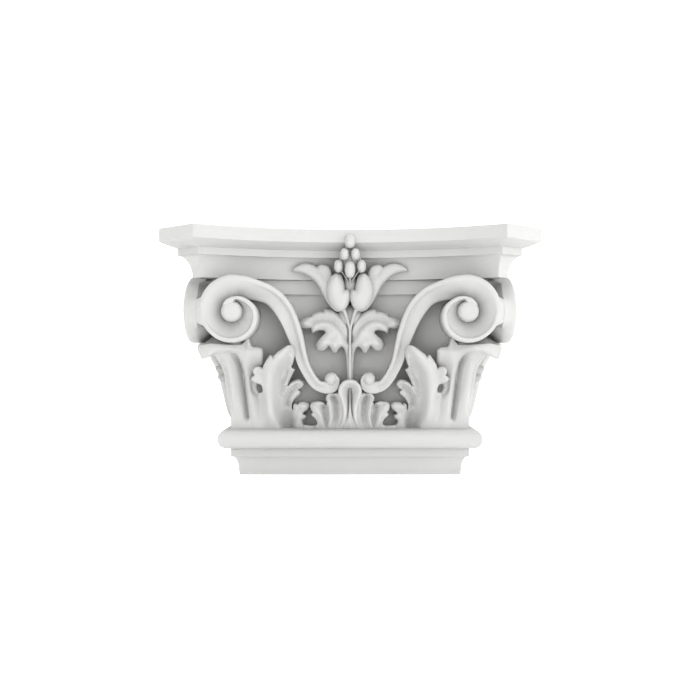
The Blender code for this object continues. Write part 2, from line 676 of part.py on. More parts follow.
def make_foot(material, collection):
    """The neck with the astragal: a profile on the corner's diagonal, turned in four steps."""
    mesh = bpy.data.meshes.new("foot")
    rows = foot_profile()
    verts = [(half * MM, half * MM, z * MM) for half, z in reversed(rows)]
    mesh.from_pydata(verts, [(i, i + 1) for i in range(len(verts) - 1)], [])
    mesh.materials.append(material)
    item = bpy.data.objects.new("foot", mesh)
    item.location = (0.0, BED_MIDDLE * MM, 0.0)
    collection.objects.link(item)
    turned = item.modifiers.new("turned", "SCREW")
    turned.steps = turned.render_steps = 4
    turned.use_merge_vertices = True
    turned.merge_threshold = 0.00001
    turned.use_smooth_shade = False
    return item


def plaster():
    """Matt white plaster."""
    material = bpy.data.materials.new("white_plaster")
    material.use_nodes = True
    shader = material.node_tree.nodes["Principled BSDF"]
    shader.inputs["Base Color"].default_value = PLASTER
    shader.inputs["Roughness"].default_value = PLASTER_ROUGHNESS
    shader.inputs["Metallic"].default_value = 0.0
    return material


def carving():
    """Every carved form with the sides of the capital that it is on."""
    front = ("front_right", "front_left")
    sides = ("side_right", "side_left")
    forms = [("volute", volute(), front + sides),
             ("eye", ball((*EYE, VOLUTE_FRONT - EYE_DOME + 0.5),
                          (EYE_RADIUS, EYE_RADIUS, EYE_DOME), 12, 6), front + sides),
             ("scroll", scroll(), front + sides),
             ("acanthus", acanthus(), front + sides),
             ("corner_leaf", corner_leaf(), front),
             ("curl", ball((*CURL, CURL_FRONT - CURL_RADIUS), [CURL_RADIUS] * 3, 10, 6), front),
             ("outer_lobe", lobe(OUTER_LOBE, OUTER_RIDGE, OUTER_TILT), front),
             ("inner_lobe", lobe(INNER_LOBE, INNER_RIDGE, INNER_TILT), front),
             ("hanging_leaf", hanging_leaf(), front),
             ("petal", petal(), front),
             ("middle_leaf", middle_leaf(), front[:1]),
             ("berry_stem", rod(STEMS[1], STEM_RADIUS), front[:1]),
             ("stem", rod(STEMS[0], STEM_RADIUS), front)]
    for number, (centre, radii) in enumerate(BUD_PARTS):
        forms.append((f"bud_{number}", ball(centre, radii, 10, 6), front))
    forms.append(("bunch", ball(*BUNCH, 10, 6), front[:1]))
    for number, (centre, radii) in enumerate(BERRIES):
        both = front if centre[0] > 0.0 else front[:1]
        forms.append((f"berry_{number}", ball(centre, radii, 8, 5), both))
    return forms


def wall_cutter(collection):
    """A block that takes away everything behind the wall."""
    bpy.ops.mesh.primitive_cube_add(size=1.0)
    cutter = bpy.context.object
    cutter.name = "wall_cutter"
    wide, deep, high = 3.0 * ABACUS_HALF, 2.0 * ABACUS_HALF, 2.0 * HEIGHT
    cutter.scale = (wide * MM, deep * MM, high * MM)
    cutter.location = (0.0, (BED_MIDDLE - WALL + deep / 2) * MM, HEIGHT / 2 * MM)
    for owner in list(cutter.users_collection):
        owner.objects.unlink(cutter)
    collection.objects.link(cutter)
    return cutter


def combine(capital, other, operation):
    """A union or cut; the carvings cross at shallow angles, which only this solver closes."""
    step = capital.modifiers.new(other.name, "BOOLEAN")
    step.operation = operation
    step.object = other
    step.solver = "MANIFOLD"
    other.hide_render = True
    other.display_type = "WIRE"


def main():
    for item in list(bpy.data.objects):
        bpy.data.objects.remove(item, do_unlink=True)
    parts = bpy.data.collections.new("pilaster_capital")
    cutters = bpy.data.collections.new("carving")
    for collection in (parts, cutters):
        bpy.context.scene.collection.children.link(collection)
    material = plaster()
    capital = make_object("pilaster_capital", block_solid(), material, parts)
    carved = [make_foot(material, cutters)]
    for name, solid, sides in carving():
        for side in sides:
            carved.append(make_object(f"{name}_{side}", placed(solid, side), material, cutters))
    for item in carved:
        combine(capital, item, "UNION")
    combine(capital, wall_cutter(cutters), "DIFFERENCE")


if __name__ == "__main__":
    main()
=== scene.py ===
"""The looks of a plaster pilaster capital, carved over its fixed frame.

The whole capital is one casting. Its mouldings start from primitives, its leaves, volutes and
scrolls are carved surfaces over their outlines, and all of them are united into one piece and cut
off flat at the wall. Carving is laid out in face coordinates in millimetres: s runs along a face
from its middle, h stands out from the column's axis, and z goes up from the bed.
"""

import json
from math import cos, exp, pi, radians, sin, sqrt

import bmesh
import bpy
import numpy as np
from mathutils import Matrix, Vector
from mathutils.geometry import delaunay_2d_cdt

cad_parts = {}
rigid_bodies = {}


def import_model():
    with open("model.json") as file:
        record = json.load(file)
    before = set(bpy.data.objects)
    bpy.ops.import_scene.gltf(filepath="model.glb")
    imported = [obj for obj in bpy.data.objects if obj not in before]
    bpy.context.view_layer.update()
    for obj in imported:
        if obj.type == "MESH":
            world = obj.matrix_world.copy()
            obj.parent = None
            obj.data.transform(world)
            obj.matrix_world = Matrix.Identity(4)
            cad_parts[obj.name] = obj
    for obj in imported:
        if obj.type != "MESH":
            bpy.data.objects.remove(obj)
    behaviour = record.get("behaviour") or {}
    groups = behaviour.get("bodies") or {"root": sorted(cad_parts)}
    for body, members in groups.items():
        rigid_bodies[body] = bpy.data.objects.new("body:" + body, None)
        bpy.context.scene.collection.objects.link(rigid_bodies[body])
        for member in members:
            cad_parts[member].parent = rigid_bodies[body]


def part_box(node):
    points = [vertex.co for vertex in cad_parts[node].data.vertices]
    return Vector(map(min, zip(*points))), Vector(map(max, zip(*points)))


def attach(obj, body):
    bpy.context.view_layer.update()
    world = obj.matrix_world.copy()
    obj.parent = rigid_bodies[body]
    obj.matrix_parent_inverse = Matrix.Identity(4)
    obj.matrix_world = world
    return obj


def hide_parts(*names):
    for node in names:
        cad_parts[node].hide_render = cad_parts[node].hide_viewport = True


bl_info = {
    "name": "Plaster pilaster capital",
    "version": (1, 0, 0),
    "blender": (4, 5, 0),
    "location": "View3D > Sidebar > Capital",
    "description": "Makes a carved plaster pilaster capital over its frame",
    "category": "Object",
}

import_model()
FRAME_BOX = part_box("pilaster_capital")
MM = 0.001
FRAME_MM = [[value / MM for value in corner] for corner in FRAME_BOX]

# Overall sizes in millimetres, some of them from the frame's box
ABACUS_HALF = FRAME_MM[1][0]
HEIGHT = FRAME_MM[1][2]
WALL_PLANE = FRAME_MM[1][1]
BED_MIDDLE = ABACUS_HALF + FRAME_MM[0][1]  # distance from the column's axis to the bed's middle
WALL = BED_MIDDLE - WALL_PLANE
SHAFT_HALF = 119.5
HORN_HALF = 157.7  # from the middle of a face to the corner of its horn
ABACUS_SAG = 51.9  # how deep a concave side of the abacus is
PAST_WALL = 12.0  # bell and abacus run this far behind the wall before they are cut

# How fine the carving is
NET = 1.6  # spacing of the net of a leaf
NET_ROOM = 0.45  # part of the spacing that the net keeps clear of an outline or crease
NET_GAP = 0.4  # and part of it that the net keeps clear of the rows at an edge
ROW_CLEAR = 0.85  # a row keeps this part of its depth clear of the edge
LINE_ROOM = 0.5  # a crease ends this far inside the edge
WELD = 0.000005  # points closer than this, in metres, become one
SAME_POINT = 0.01  # and in a net, in millimetres
NET_LINE = 6  # parts between two points of a line
EDGE_STEP = 1.6  # longest step along a leaf's edge
EDGE_RINGS = (0.45, 1.1, 2)  # rows of points that follow an edge inwards
ARC_PARTS = 64  # parts of a concave front
TURN_STEP = 3  # degrees between two points of the volute's rim
SHARP_ANGLE = radians(38)

# Mouldings of the abacus: height and inset from the fascia
FASCIA_BOTTOM = 248.8
SOFFIT_BOTTOM = 241.4
FILLET_BOTTOM = 233.9
FILLET_INSET = 15.0
COVE_BOTTOM = 210.8
COVE_INSET = 26.9
LIP_BOTTOM = 195.3
LIP_INSET = 31.5
LIP_CORNER = 284.0  # the lip is cut off where across and forward add up to this
LIP_STEP = 0.5  # and its top is set back by this much
LIP_HIDDEN = 2.0  # it runs this far up into the cove
SOFFIT_SWELL = 1.2  # the soffit swells out by this much
TOP_BEVEL = 0.6

# Bell, astragal and neck
BELL_FOOT = 113.0  # distance of the bell's face from the axis at its foot
BELL_SAG_RADIUS = 300.5
BELL_LEVELS = 24
BELL_HIDDEN = (10.0, 1.0)  # it runs this far down into the astragal, and up into the lip
BELL_CORNER_FOOT = 113.0
BELL_CORNER_TOP = 134.0
BELL_HOLLOW_TOP = 150.0  # above this height the bell is as concave as the abacus
ASTRAGAL_BOTTOM = 29.3
ASTRAGAL_TOP = 50.5
ASTRAGAL_CENTRE = 130.7
NECK_FILLET = 128.3
NECK_FILLET_BOTTOM = 20.4
NECK_COVE_BOTTOM = 6.0
NECK_COVE_INSET = 1.0
NECK_COVE_STEP = 1.0  # the hollow stops this much short of the fillet above it

# Volute
EYE = (123, 175.5)
EYE_RADIUS = 11.3
EYE_DOME = 14.0  # half depth of the eye's round boss
EYE_OUT = 0.2  # and how far it stands out over the rim
EYE_SQUARE = 4.5  # how flat the boss is in front: 2 is round
RIM_BACK = 3.0  # the spiral lies this much further back than its outermost part
RING_FALL = 1.0  # the end of the rim falls this much towards the eye
RING_SINKS = 4.0  # and its tip sinks this much into the eye
RIM_RADII = (
    (0, 38), (45, 35.3), (90, 32.6), (135, 32.4), (180, 32.8), (225, 31), (270, 26.5), (300, 21.8),
    (337, 17), (360, 14.9), (395, 12.4), (430, 10.4))
RIM_WIDTH = 5.0
VOLUTE_FRONT = 175.5
VOLUTE_BACK = 127.0
PLATE_BACK = 160.5  # the outer half of the volute is a plate that ends here
RING_END = (336, 350)  # between these turning angles the rim fills up and joins the eye
RIM_CRISP = (60, 170)  # between these its inner step grows
TIP_SINKS = (402, 430)  # and between these its tip sinks
PLATE_TURNS = (8, 32, 165, 215)  # the plate grows from the first to the second, and then ends
LOW_TURN = (150.0, 45.0)  # lowest outer part of the rim: turning angle and half width
LOW_ROUND = 5.0  # the rim is rounded back by this much more there
VOLUTE_JOINT = 170  # turning angle where the two halves of the spiral are joined
JOINT_OVERLAP = 14  # the first half runs on this far inside the second
JOINT_SINKS = (6, 0.6)  # and sinks by this much, from this far past the joint
JOINT_GAP = (8, 0.03)  # up to here the second half lies this much inside the first
EYE_BURIED = 7.5  # the channel ends inside the eye at this radius
WALL_SPREAD = 9.0  # web between the volutes of a corner: how far its wall spreads
WEB_TURN = 90.0  # turning angle of the web's middle
WEB_HALF = 23.0
WEB_HOLLOW = (0.3, 0.5)  # place and depth of the hollow between web and rim
FLOOR_DEEP = 22.0  # depth of the channel beside the eye, low and outwards
FLOOR_SHALLOW = 13.0  # and towards the middle
FLOOR_STEP = 3.2  # height of the step inside the rim
RIM_SOFT = 0.95  # half width of that step
# Where the rim has no step, and where it has: its crest, rounding and the power of its fall
CREST = (0.95, 0.45)
RIM_ROUND = (3.0, 1.7)
CHANNEL_POWER = (1.25, 0.9)
# Points of a section: parts of the rim, of the step's half width and of the channel
RIM_SPOTS = (0, 0.1, 0.25, 0.45)
STEP_SPOTS = (-1, -0.5, 0, 0.5, 1)
CHANNEL_SPOTS = (0.03, *np.linspace(0.08, 0.85, 11), 0.89, 0.93, 0.96, 0.98, 1)
NARROW = 0.4  # the rim is at most this part of the width, and the step of the rim
# Scroll from the volute's top down to the small curl: outer edge, inner edge, front
SCROLL = (
    ((117, 213.3), (117.5, 188.2), 172.3), ((103, 210.5), (109.5, 188.5), 169.8),
    ((78.5, 200.5), (89, 184), 160), ((61.5, 182.5), (75, 167), 153),
    ((51, 154.5), (65, 144.5), 146), ((44, 122.5), (55, 117), 140),
    ((33.5, 103.5), (41, 95), 136.5), ((26, 101.5), (25, 88), 134.5),
    ((20.5, 100), (13.6, 92), 133.5), ((18, 103.5), (11, 102.5), 134),
    ((19.5, 106.5), (15, 109.3), 134.5))
CURL_JOIN = (6.2, 7.4)  # between these rows the rim runs into the curl's boss
VOLUTE_ROWS = (3.6, 0)  # between these rows the scroll takes over the volute's section
SCROLL_CRISP = (0.3, 3)  # and between these the step of its rim grows
SCROLL_PARTS = 10  # sections between two rows
SCROLL_RIM = 6.2
SCROLL_SOFT = 2.0  # half width of the step inside its rim
SCROLL_STEP = 4.0  # height of that step
SCROLL_RISE = 1.8  # the band rises this much from the step of its rim to its soft edge
SOFT_EDGE = (0.86, 1.8)  # that edge is rounded from this part of the width, by this much
CURL = (20, 104)
CURL_RADIUS = 7.3
CURL_FRONT = 137.0

# Corner leaf
LEAF_FOOT = 128.3
FLARE = ((46, 0), (82, 0.3), (103, 2.3), (114, 4.6), (124.5, 10.3), (130.5, 18), (134.7, 32))
INNER_FLARE = (
    (46, 0), (82, 0.4), (98, 1.8), (108, 4.4), (116, 8.6), (124, 14), (130, 17.8), (134.7, 19.6))
RIDGE_LINE = ((46, 100), (82, 106), (103, 109), (119, 110), (134.7, 108))
INNER_LINE = (
    (46, 86), (80, 88), (85, 91), (88, 98), (91, 102), (95, 103.5), (100, 102), (106, 99.5),
    (114, 97), (122, 95.8), (130, 95.5), (134.7, 95.8))
LIP_DROOP = 9.0  # the corner's tip hangs this much below the rest of the lip
LIP_ROUNDING = 5.0  # how far the lip is rounded back on the diagonal
# A place runs from -1 at the inner edge, over 0 on the ridge, to 1 on the diagonal
DROOP_PLACES = (0.5, 1)  # here the lip droops
ROUND_PLACES = (0.55, 1)  # and here it is rounded back
INNER_PLACES = (0.42, 0.05)  # here the outer flare turns into the inner one
RISE_PLACES = (-0.3, 0.05)  # here the lip's back begins to rise
INNER_REACH = 8.0  # from the ridge to the leaf's inner edge, where the flutes are measured
LIP_HANGS = (20, 32)  # the droop grows from the first to the second flare
# Rows on top of the lip: how far back, how much further at the inner part, and how much higher
LIP_EDGE = ((0.8, 1, -0.05), (4, 0, 0.2))
LIP_TURNS = range(25, 151, 25)  # degrees round the lip
LIP_ROLL = 2.2  # the lip's face swells forward by this much
LIP_INWARD = 0.75  # and leans back by this much at the inner part
LIP_DEPTH = 12.0
LIP_RISE = 7.0  # the lip's back rises this much, up into the volute
LEAF_TOP = (
    (-1, 137.3), (-0.9, 137.8), (-0.75, 138), (-0.4, 138.2), (-0.27, 140), (-0.12, 145.5),
    (0, 148.5), (0.06, 146), (0.15, 140.8), (0.3, 140.8), (0.5, 141.7), (0.75, 142.8), (1, 141.2))
LEAF_BACK = ((-16, 112), (-20, 46))
LEAF_ROWS = 48  # points of a column, up to the lip
# Columns: from place, to place, how many
LEAF_PLACES = ((1, 0.6, 13), (0.58, 0.2, 21), (0.17, -0.2, 15), (-0.25, -1, 14))
MARGIN = 3.5  # rounding of the leaf's inner edge
MARGIN_TURNS = (25, 50, 75, 90)
BACK_ROWS = 4  # the last rows of a column, which stay
TOP_ROWS = 10  # the last rows, which sink
TOP_SINKS = 0.8  # by this part of the rounding
GROOVE_LINE = (
    (60, 112.5), (76, 114.5), (92, 116.5), (108, 117.6), (119, 119.8), (128, 123.5),
    (134.7, 128.5))
RIB_PLACE = 0.70  # the rib beside the corner: its place, half width and height
RIB_HALF = 0.19
RIB_HEIGHT = 4.2
RIB_RISES = (52, 96, 124, 134.7)  # it grows from the first height to the second, and then ends
RIDGE_HEIGHTS = (1, 2.8)  # the ridge's height over the flare, at the foot and high up
RIDGE_HALF = (0.5, 0.15)  # and its half width towards the inner edge and the corner
RIDGE_GROWS = (50, 80)
HOLLOW = (-0.55, 0.3, 1.6)  # hollow beside the ridge: place, half width and depth
HOLLOW_ENDS = (118, 100)
GROOVE_SHARP = (1.7, 4)  # half width and steepness of the flute towards the corner
GROOVE_SOFT = (3.4, 2)  # and towards the ridge
GROOVE_DEPTH = 7.0
GROOVE_RISES = (57, 64, 131.5, 134.7)

# Acanthus leaf
ACANTHUS = (
    (95.5, 46), (98.3, 66), (99, 84.5), (98.2, 88.4), (94.5, 89.6), (93.5, 93.5), (95.3, 98),
    (99.5, 99.8), (104.2, 102.2), (105, 105.2), (101.8, 108.5), (102.8, 113.2), (100.5, 117),
    (96.5, 117.8), (93, 116), (91.2, 120.5), (85, 129.5), (83, 130), (81.2, 127.8), (77, 132.5),
    (66.5, 139.5), (61.8, 140.2), (59, 136), (58.8, 128), (62.5, 117), (60.3, 115.2), (59, 114),
    (63.4, 105.5), (66.5, 97), (62, 101.8), (55, 103.6), (50.6, 101.5), (49.5, 98), (51.6, 94.8),
    (55.5, 92.5), (53.4, 90.3), (54, 87), (59, 82.8), (62.6, 77), (62.5, 71), (61.5, 76), (59, 78),
    (57.8, 77.8), (57, 76.5), (54.5, 78.9), (48.5, 79.3), (43.7, 77), (43.8, 73.5), (46.5, 70),
    (50.5, 66.7), (47.3, 65.6), (47.5, 62), (50.9, 59.5), (50.8, 56), (48, 53), (48, 46), (58, 46),
    (68, 46), (78, 46))
ACANTHUS_RIDGE = (
    (79.5, 46), (82.5, 58), (86, 72), (87, 84), (86.8, 98), (84.5, 111), (76.6, 124.5),
    (66.5, 136))
ACANTHUS_BREAK = (
    (71, 46), (76.5, 58), (79.3, 71), (79.8, 84), (79.2, 98), (77.9, 108.5), (71.9, 120.5),
    (65.9, 131), (62, 139))
ACANTHUS_VALLEY = ((74.5, 94), (73, 104), (70, 115), (66.5, 125))
LOBE_VALLEY = ((54.8, 98.2), (61.8, 92.4), (67.2, 84.4), (68.3, 76))
LOBE_RIDGE = ((53, 99), (58, 99.8), (64.5, 96.5), (71.5, 88))
ACANTHUS_MARGIN = ((61, 127), (62.8, 116.5), (65, 108), (69.5, 98.5))
LOW_VALLEY = ((64, 52), (58.5, 63), (52.5, 70.5))
# Levels of a leaf: how much a part stands out, and where it grows across and up the leaf
ANYWHERE = (-2000, -1000)
ACANTHUS_LEVELS = ((-5, ANYWHERE, (128, 108)), (4, (66, 58), (82, 72)), (6, (93, 102), (88, 100)))
# Folds of a leaf: line, half width and height, which is negative in a valley
ACANTHUS_FOLDS = ((ACANTHUS_RIDGE, 8, 6.5), (ACANTHUS_VALLEY, 3.5, -0.8))
LOBE_FOLDS = ((ACANTHUS_MARGIN, 3, 4.5), (LOBE_VALLEY, 2.8, -4.4), (LOBE_RIDGE, 3, 4),
              (LOW_VALLEY, 2.8, -1.8))
BREAK_DROP = (7.0, (-4.5, 5))  # behind its break the leaf falls back by this much, over this width
# Hollow of its foot: place, half width, depth, and heights between which it begins
FOOT_HOLLOW = (68.5, 7, 8, (88, 60))
ACANTHUS_EDGE = (3.6, 4)  # an edge is rounded over the first number by the second
ACANTHUS_JOIN = (99, 13, 128.5)  # the leaf's foot rises from the corner leaf's face here
JOIN_HEIGHTS = (96, 82)
ACANTHUS_LEAN = ((46, 131), (80, 139.5), (109, 146), (125, 151), (141, 155))
ACANTHUS_FREE = (84, 106)  # between these heights the leaf leaves the bell
LEAF_THICKNESS = 11.0
FOOT_LEAN = (66, 45)  # between these heights the feet of the leaves lean back
FOOT_FRONT = 128.5  # to this front

# Leaves beside the middle
OUTER_LOBE = (
    (50.5, 46), (50.8, 50), (50, 54.6), (43.5, 53.8), (37.6, 53.9), (35.7, 54.9), (35.3, 57),
    (36.8, 60.8), (40.5, 64.3), (41.4, 66.6), (39.7, 68.7), (41.6, 70.6), (42.6, 74.5),
    (40.9, 78.6), (33.6, 80), (28.2, 78.6), (23.5, 74), (19, 60), (16, 46), (30, 46))
OUTER_RIDGE = ((37.5, 75.5), (35.5, 71), (31.5, 64.5), (30, 57), (27, 49))
OUTER_VALLEY = ((27.5, 74), (26.5, 67), (25.5, 60), (24.5, 52))
OUTER_DIP = ((39, 76.8), (33.5, 76.6), (28.5, 74.5))
INNER_LOBE = (
    (28.5, 46), (23.4, 59), (24.3, 74.5), (25.6, 77.6), (24.2, 79.8), (26.2, 82), (25.3, 86.6),
    (21, 89.2), (17, 89.2), (14.5, 94), (8, 95.5), (5.5, 66), (4, 46), (16, 46))
INNER_RIDGE = ((23.2, 81), (21.6, 74), (20.4, 67), (20.6, 60), (22.8, 50))
INNER_VALLEY = ((17.5, 84), (15.8, 79), (15, 72), (15, 64), (16, 57), (18, 50))
INNER_DIP = ((20.5, 84.5), (16.5, 83), (14.5, 79))
# The gaps beside the outer lobe and beside the acanthus have sills this far back
SILLS = ((-10, (35, 39), (60, 55)), (-10, ANYWHERE, (87.6, 91)))
# A small leaf: outline, front, folds, levels, rounding of its edge, creases and spacing of its net
OUTER_LEAF = (
    OUTER_LOBE, 136, ((OUTER_RIDGE, 2.8, 5), (OUTER_VALLEY, 3, -6), (OUTER_DIP, 2.2, -1.8)),
    ((2, ANYWHERE, (50, 80)), *SILLS), (3, 3.4), (OUTER_RIDGE,), 1.3)
INNER_LEAF = (
    INNER_LOBE, 136, ((INNER_RIDGE, 2.8, 5), (INNER_VALLEY, 3, -6), (INNER_DIP, 2.2, -1.8)),
    ((0.5, ANYWHERE, (50, 80)), *SILLS), (3, 3.4), (INNER_RIDGE,), 1.3)
MIDDLE_LEAF = (
    (0, 104), (5.5, 102.7), (9.8, 99.3), (11.9, 95.5), (12.8, 91), (12.3, 87), (10, 81), (8.3, 74),
    (7.9, 69), (8.3, 62), (10.3, 55), (14, 46))
TONGUE = (
    (0, 93.8), (0.9, 92.4), (1.15, 88), (1.3, 80), (1.9, 71), (3.2, 63), (5.6, 55), (7.6, 50))
MIDDLE_FRONT = 141.0
MIDDLE_EDGE = (3, 3)
MIDDLE_NET = 1.0
MIDDLE_DEPTHS = (3.0, 7.0)  # depth of its hollow at the foot and at the top
MIDDLE_DEEPENS = (64, 82)
MIDDLE_SIDE = (1.8, 10)  # the hollow's side falls between these distances from the edge
TONGUE_HALF = ((46, 2.345), (104, 0.315))
TONGUE_RISE = (1.0, 0.6)  # it rises by this much, and by this part of the hollow's depth
TONGUE_TOP = (94.5, 91)
TONGUE_GROOVE = (0.75, -2.6)

# Spray: hanging leaf, petal, buds, berries and stems
HANGING_LEAF = (
    (-0.5, 156.5), (4, 165.5), (10.5, 172.5), (17, 177.5), (25, 179.5), (28.2, 178.8), (29, 176.5),
    (34, 176.6), (41, 173.2), (41.6, 172.2), (41.8, 171.5), (47.8, 170), (55.3, 165.6),
    (56.8, 162.8), (55.6, 159.6), (49, 158.2), (42.3, 158.6), (41.4, 155.5), (41, 152),
    (36, 155.2), (29.5, 156.2), (27.2, 155.3), (26.6, 153.5), (29.5, 150.5), (34.2, 146),
    (36.7, 140.5), (35.5, 135.5), (31.5, 134.2), (27.5, 134.8), (25, 137), (22.5, 139.6),
    (20.6, 137), (19.2, 133.8), (16.5, 131.9), (13.6, 133.2), (11.8, 136.8), (8.8, 138.8),
    (6.9, 137.2), (5.6, 134), (4.5, 129), (3.8, 121), (3.4, 112), (3, 99), (-2.5, 99), (-2.5, 112),
    (-2.5, 135), (-2, 143))
HANGING_CREASE = (
    (39.6, 165.5), (32, 168), (22.8, 167.7), (15.2, 163.9), (7.6, 155.6), (2.3, 144.9))
LOW_CREASE = ((22.5, 139), (21, 146), (15, 152))
HANGING_BAND = ((6.1, 155.6), (13.7, 169.3), (24.3, 173.1), (36.5, 170), (48.7, 163.2))
HANGING_RIDGE = ((39.5, 156), (35, 161.7), (25.9, 163.5), (18.3, 159.5), (10.7, 150.5), (6, 141))
# Its round swellings: across, up, half width and height
HANGING_SWELLS = (
    (20, 146, 16, 5.4), (28.5, 142.5, 7, 7.5), (15.5, 140.5, 6, 7), (48, 163, 6, 3.5),
    (32, 153, 5, 2), (20, 150, 9, 2.5))
HANGING = (HANGING_LEAF, 130, (
    (HANGING_BAND, 6.5, 1.4), (HANGING_CREASE, 2.8, -3), (HANGING_RIDGE, 5, 4),
    (LOW_CREASE, 2, -0.8),
    *((((s, z), (s, z)), width, height) for s, z, width, height in HANGING_SWELLS)),
    ((-2, (4, 1.8), ANYWHERE),), (4.6, 5), (HANGING_CREASE,), 1.4)
PETAL = (
    (62, 219.3), (60.5, 222.8), (55.5, 226.5), (46.5, 228.4), (37.5, 225.5), (35.8, 224.6),
    (35, 224.3), (31.5, 226.8), (25.5, 226), (21, 222.5), (18.5, 214), (12, 196), (10, 177),
    (20, 180.5), (32.5, 201.5), (39, 210), (48, 216.3), (55, 218.6))
PETAL_RIDGE = ((59, 221.5), (49, 222.5), (37, 216), (27, 204), (18, 188))
PETAL_CREASE = ((35, 224.4), (32, 219.5), (29, 215))
PETAL_LEAF = (PETAL, 134, ((PETAL_RIDGE, 7, 2), (PETAL_CREASE, 2, -0.9)),
              ((2, (60, 15), ANYWHERE),), (3.6, 3.4), (), NET)
BUD = (
    (9, 176.4), (16, 178.6), (21.8, 185), (25.2, 195.5), (23.6, 207), (19, 214.8), (13, 217.6),
    (8.8, 214.6), (6.6, 208), (5.7, 203.5), (5.3, 199.7), (3.3, 200.2), (1, 199), (-0.9, 193.5),
    (0.6, 186.5), (3.8, 180.2))
BUD_LEAF = (BUD, 147.5, (), (), (9.5, 10), (), 1.2)
BERRIES = (
    ((0, 249.9, 147), (5.8, 7.5, 9.5)), ((5.7, 236.5, 146.5), (4.7, 6.5, 8)),
    ((12.1, 224.2, 143), (4.9, 6.9, 8.5)), ((0, 220.3, 147), (5.6, 8.9, 8.5)))
BERRY_SQUARE = (2.35, 2.2)
# Filling behind the buds and the berries: centre (across, up, out) and radii, as in the berries
BUNCH = (
    ("bunch", (0, 233, 133), (12, 17, 12.5)), ("bunch_foot", (0, 206, 128), (8, 15, 11)),
    ("between_stems", (0, 171, 121), (15, 14, 11.5)))
SIDE_STEM = (
    (0.4, 150, 130, 1.3), (0.7, 158, 131, 1.35), (2.4, 166.5, 133, 1.55), (5.2, 175, 136, 1.8),
    (7.8, 181, 138, 2.2))
MIDDLE_STEM = ((0, 98, 129, 1.5), (0, 150, 131, 1.5), (0, 157.5, 131, 1.5))
BERRY_STEMS = (
    ((0, 190, 133, 0.8), (0, 202, 138.5, 0.8), (0, 222, 143, 0.8)),
    ((0, 206, 138.5, 0.7), (4, 211.5, 140, 0.7), (9.5, 219.5, 143, 0.7)))
BURIED = 106.0  # backs of the carving end here, inside the bell

# The sky is brighter in this direction, by this part
SKY_TOWARD = (0.75, -0.62, 0.1)
SKY_SLOPE = 0.14
KEY_PLACE = (1.6, -0.6, 0.2)  # in metres from the foot of the capital's front
KEY_SIZE = (1.4, 1.2)

# Plaster: scale and detail of a noise, and for a bump its strength and height in metres too
TONE_NOISE = (14.0, 4.0)
TONE_LOW = (0.975, 0.975, 0.965)  # the darker tone's part of the colour
DRY_NOISE = (60.0, 3.0)
DRY_RANGE = (-0.06, 0.06)
NOISE_RANGE = (0.3, 0.7)
GRAIN = (900.0, 4.0, 0.12, 0.0004)
SWELL = (70.0, 2.0, 0.25, 0.0012)

# Sides of the capital that a form is carved on
FRONT = ("front_right", "front_left")
SIDES = ("side_right", "side_left")


def smooth_step(low, high, value):
    """A soft rise from 0 at low to 1 at high."""
    part = np.clip((value - low) / (high - low), 0, 1)
    return part * part * (3 - 2 * part)


def plateau(places, value):
    """A soft rise from the first place to the second, and a fall from the third to the fourth."""
    return smooth_step(*places[:2], value) * smooth_step(places[3], places[2], value)


def between(low, high, part):
    """The number that lies a part of the way from low to high."""
    return low + (high - low) * part


def along(table, value):
    """The number that a table of (place, number) pairs gives at a place."""
    return np.interp(value, *np.transpose(table))


def through(points, parts):
    """A smooth open curve through points, with some parts between each two of them."""
    knots = np.array(points, dtype=float)
    first = 2 * knots[0] - knots[1]
    last = 2 * knots[-1] - knots[-2]
    knots = np.vstack([first, knots, last])
    curve = []
    for a, b, c, d in zip(knots, knots[1:], knots[2:], knots[3:]):
        for step in range(parts):
            t = step / parts
            bend = (2 * a - 5 * b + 4 * c - d) * t * t + (3 * b - a - 3 * c + d) * t ** 3
            curve.append(b + 0.5 * ((c - a) * t + bend))
    curve.append(knots[-2])
    return np.array(curve)


def arc(start, via, end):
    """Points from start towards end on a soft bend through a point, without the end."""
    start, via, end = (np.array(point, dtype=float) for point in (start, via, end))
    length = np.linalg.norm(via - start) + np.linalg.norm(end - via)
    parts = max(1, round(length / EDGE_STEP))
    middle = 2 * via - 0.5 * (start + end)
    t = np.arange(parts)[:, None] / parts
    return (1 - t) ** 2 * start + 2 * t * (1 - t) * middle + t ** 2 * end


def outline(corners):
    """A closed outline from corner, point passed through, corner and so on."""
    ends = corners[2::2] + corners[:1]
    return np.vstack([arc(*bend) for bend in zip(corners[::2], corners[1::2], ends)])


FLARE_CURVE, INNER_CURVE, RIM_CURVE = (
    through(line, 8) for line in (FLARE, INNER_FLARE, RIM_RADII))


def distance(points, line, closed=False):
    """Distance of each point from a line of straight runs."""
    starts = np.array(line, dtype=float)
    ends = np.roll(starts, -1, axis=0)
    if not closed:
        starts, ends = starts[:-1], ends[:-1]
    runs = ends - starts
    lengths = np.maximum((runs ** 2).sum(axis=1), 1e-9)
    offsets = points[:, None, :] - starts[None, :, :]
    part = np.clip((offsets * runs).sum(axis=2) / lengths, 0, 1)
    return np.linalg.norm(offsets - part[:, :, None] * runs, axis=2).min(axis=1)


def inside(points, loop):
    """Which points lie inside a closed outline."""
    result = np.zeros(len(points), dtype=bool)
    for a, b in zip(loop, np.roll(loop, -1, axis=0)):
        crosses = (a[1] > points[:, 1]) != (b[1] > points[:, 1])
        rise = b[1] - a[1]
        if abs(rise) > 1e-9:
            level = a[0] + (points[:, 1] - a[1]) * (b[0] - a[0]) / rise
            result ^= crosses & (points[:, 0] < level)
    return result


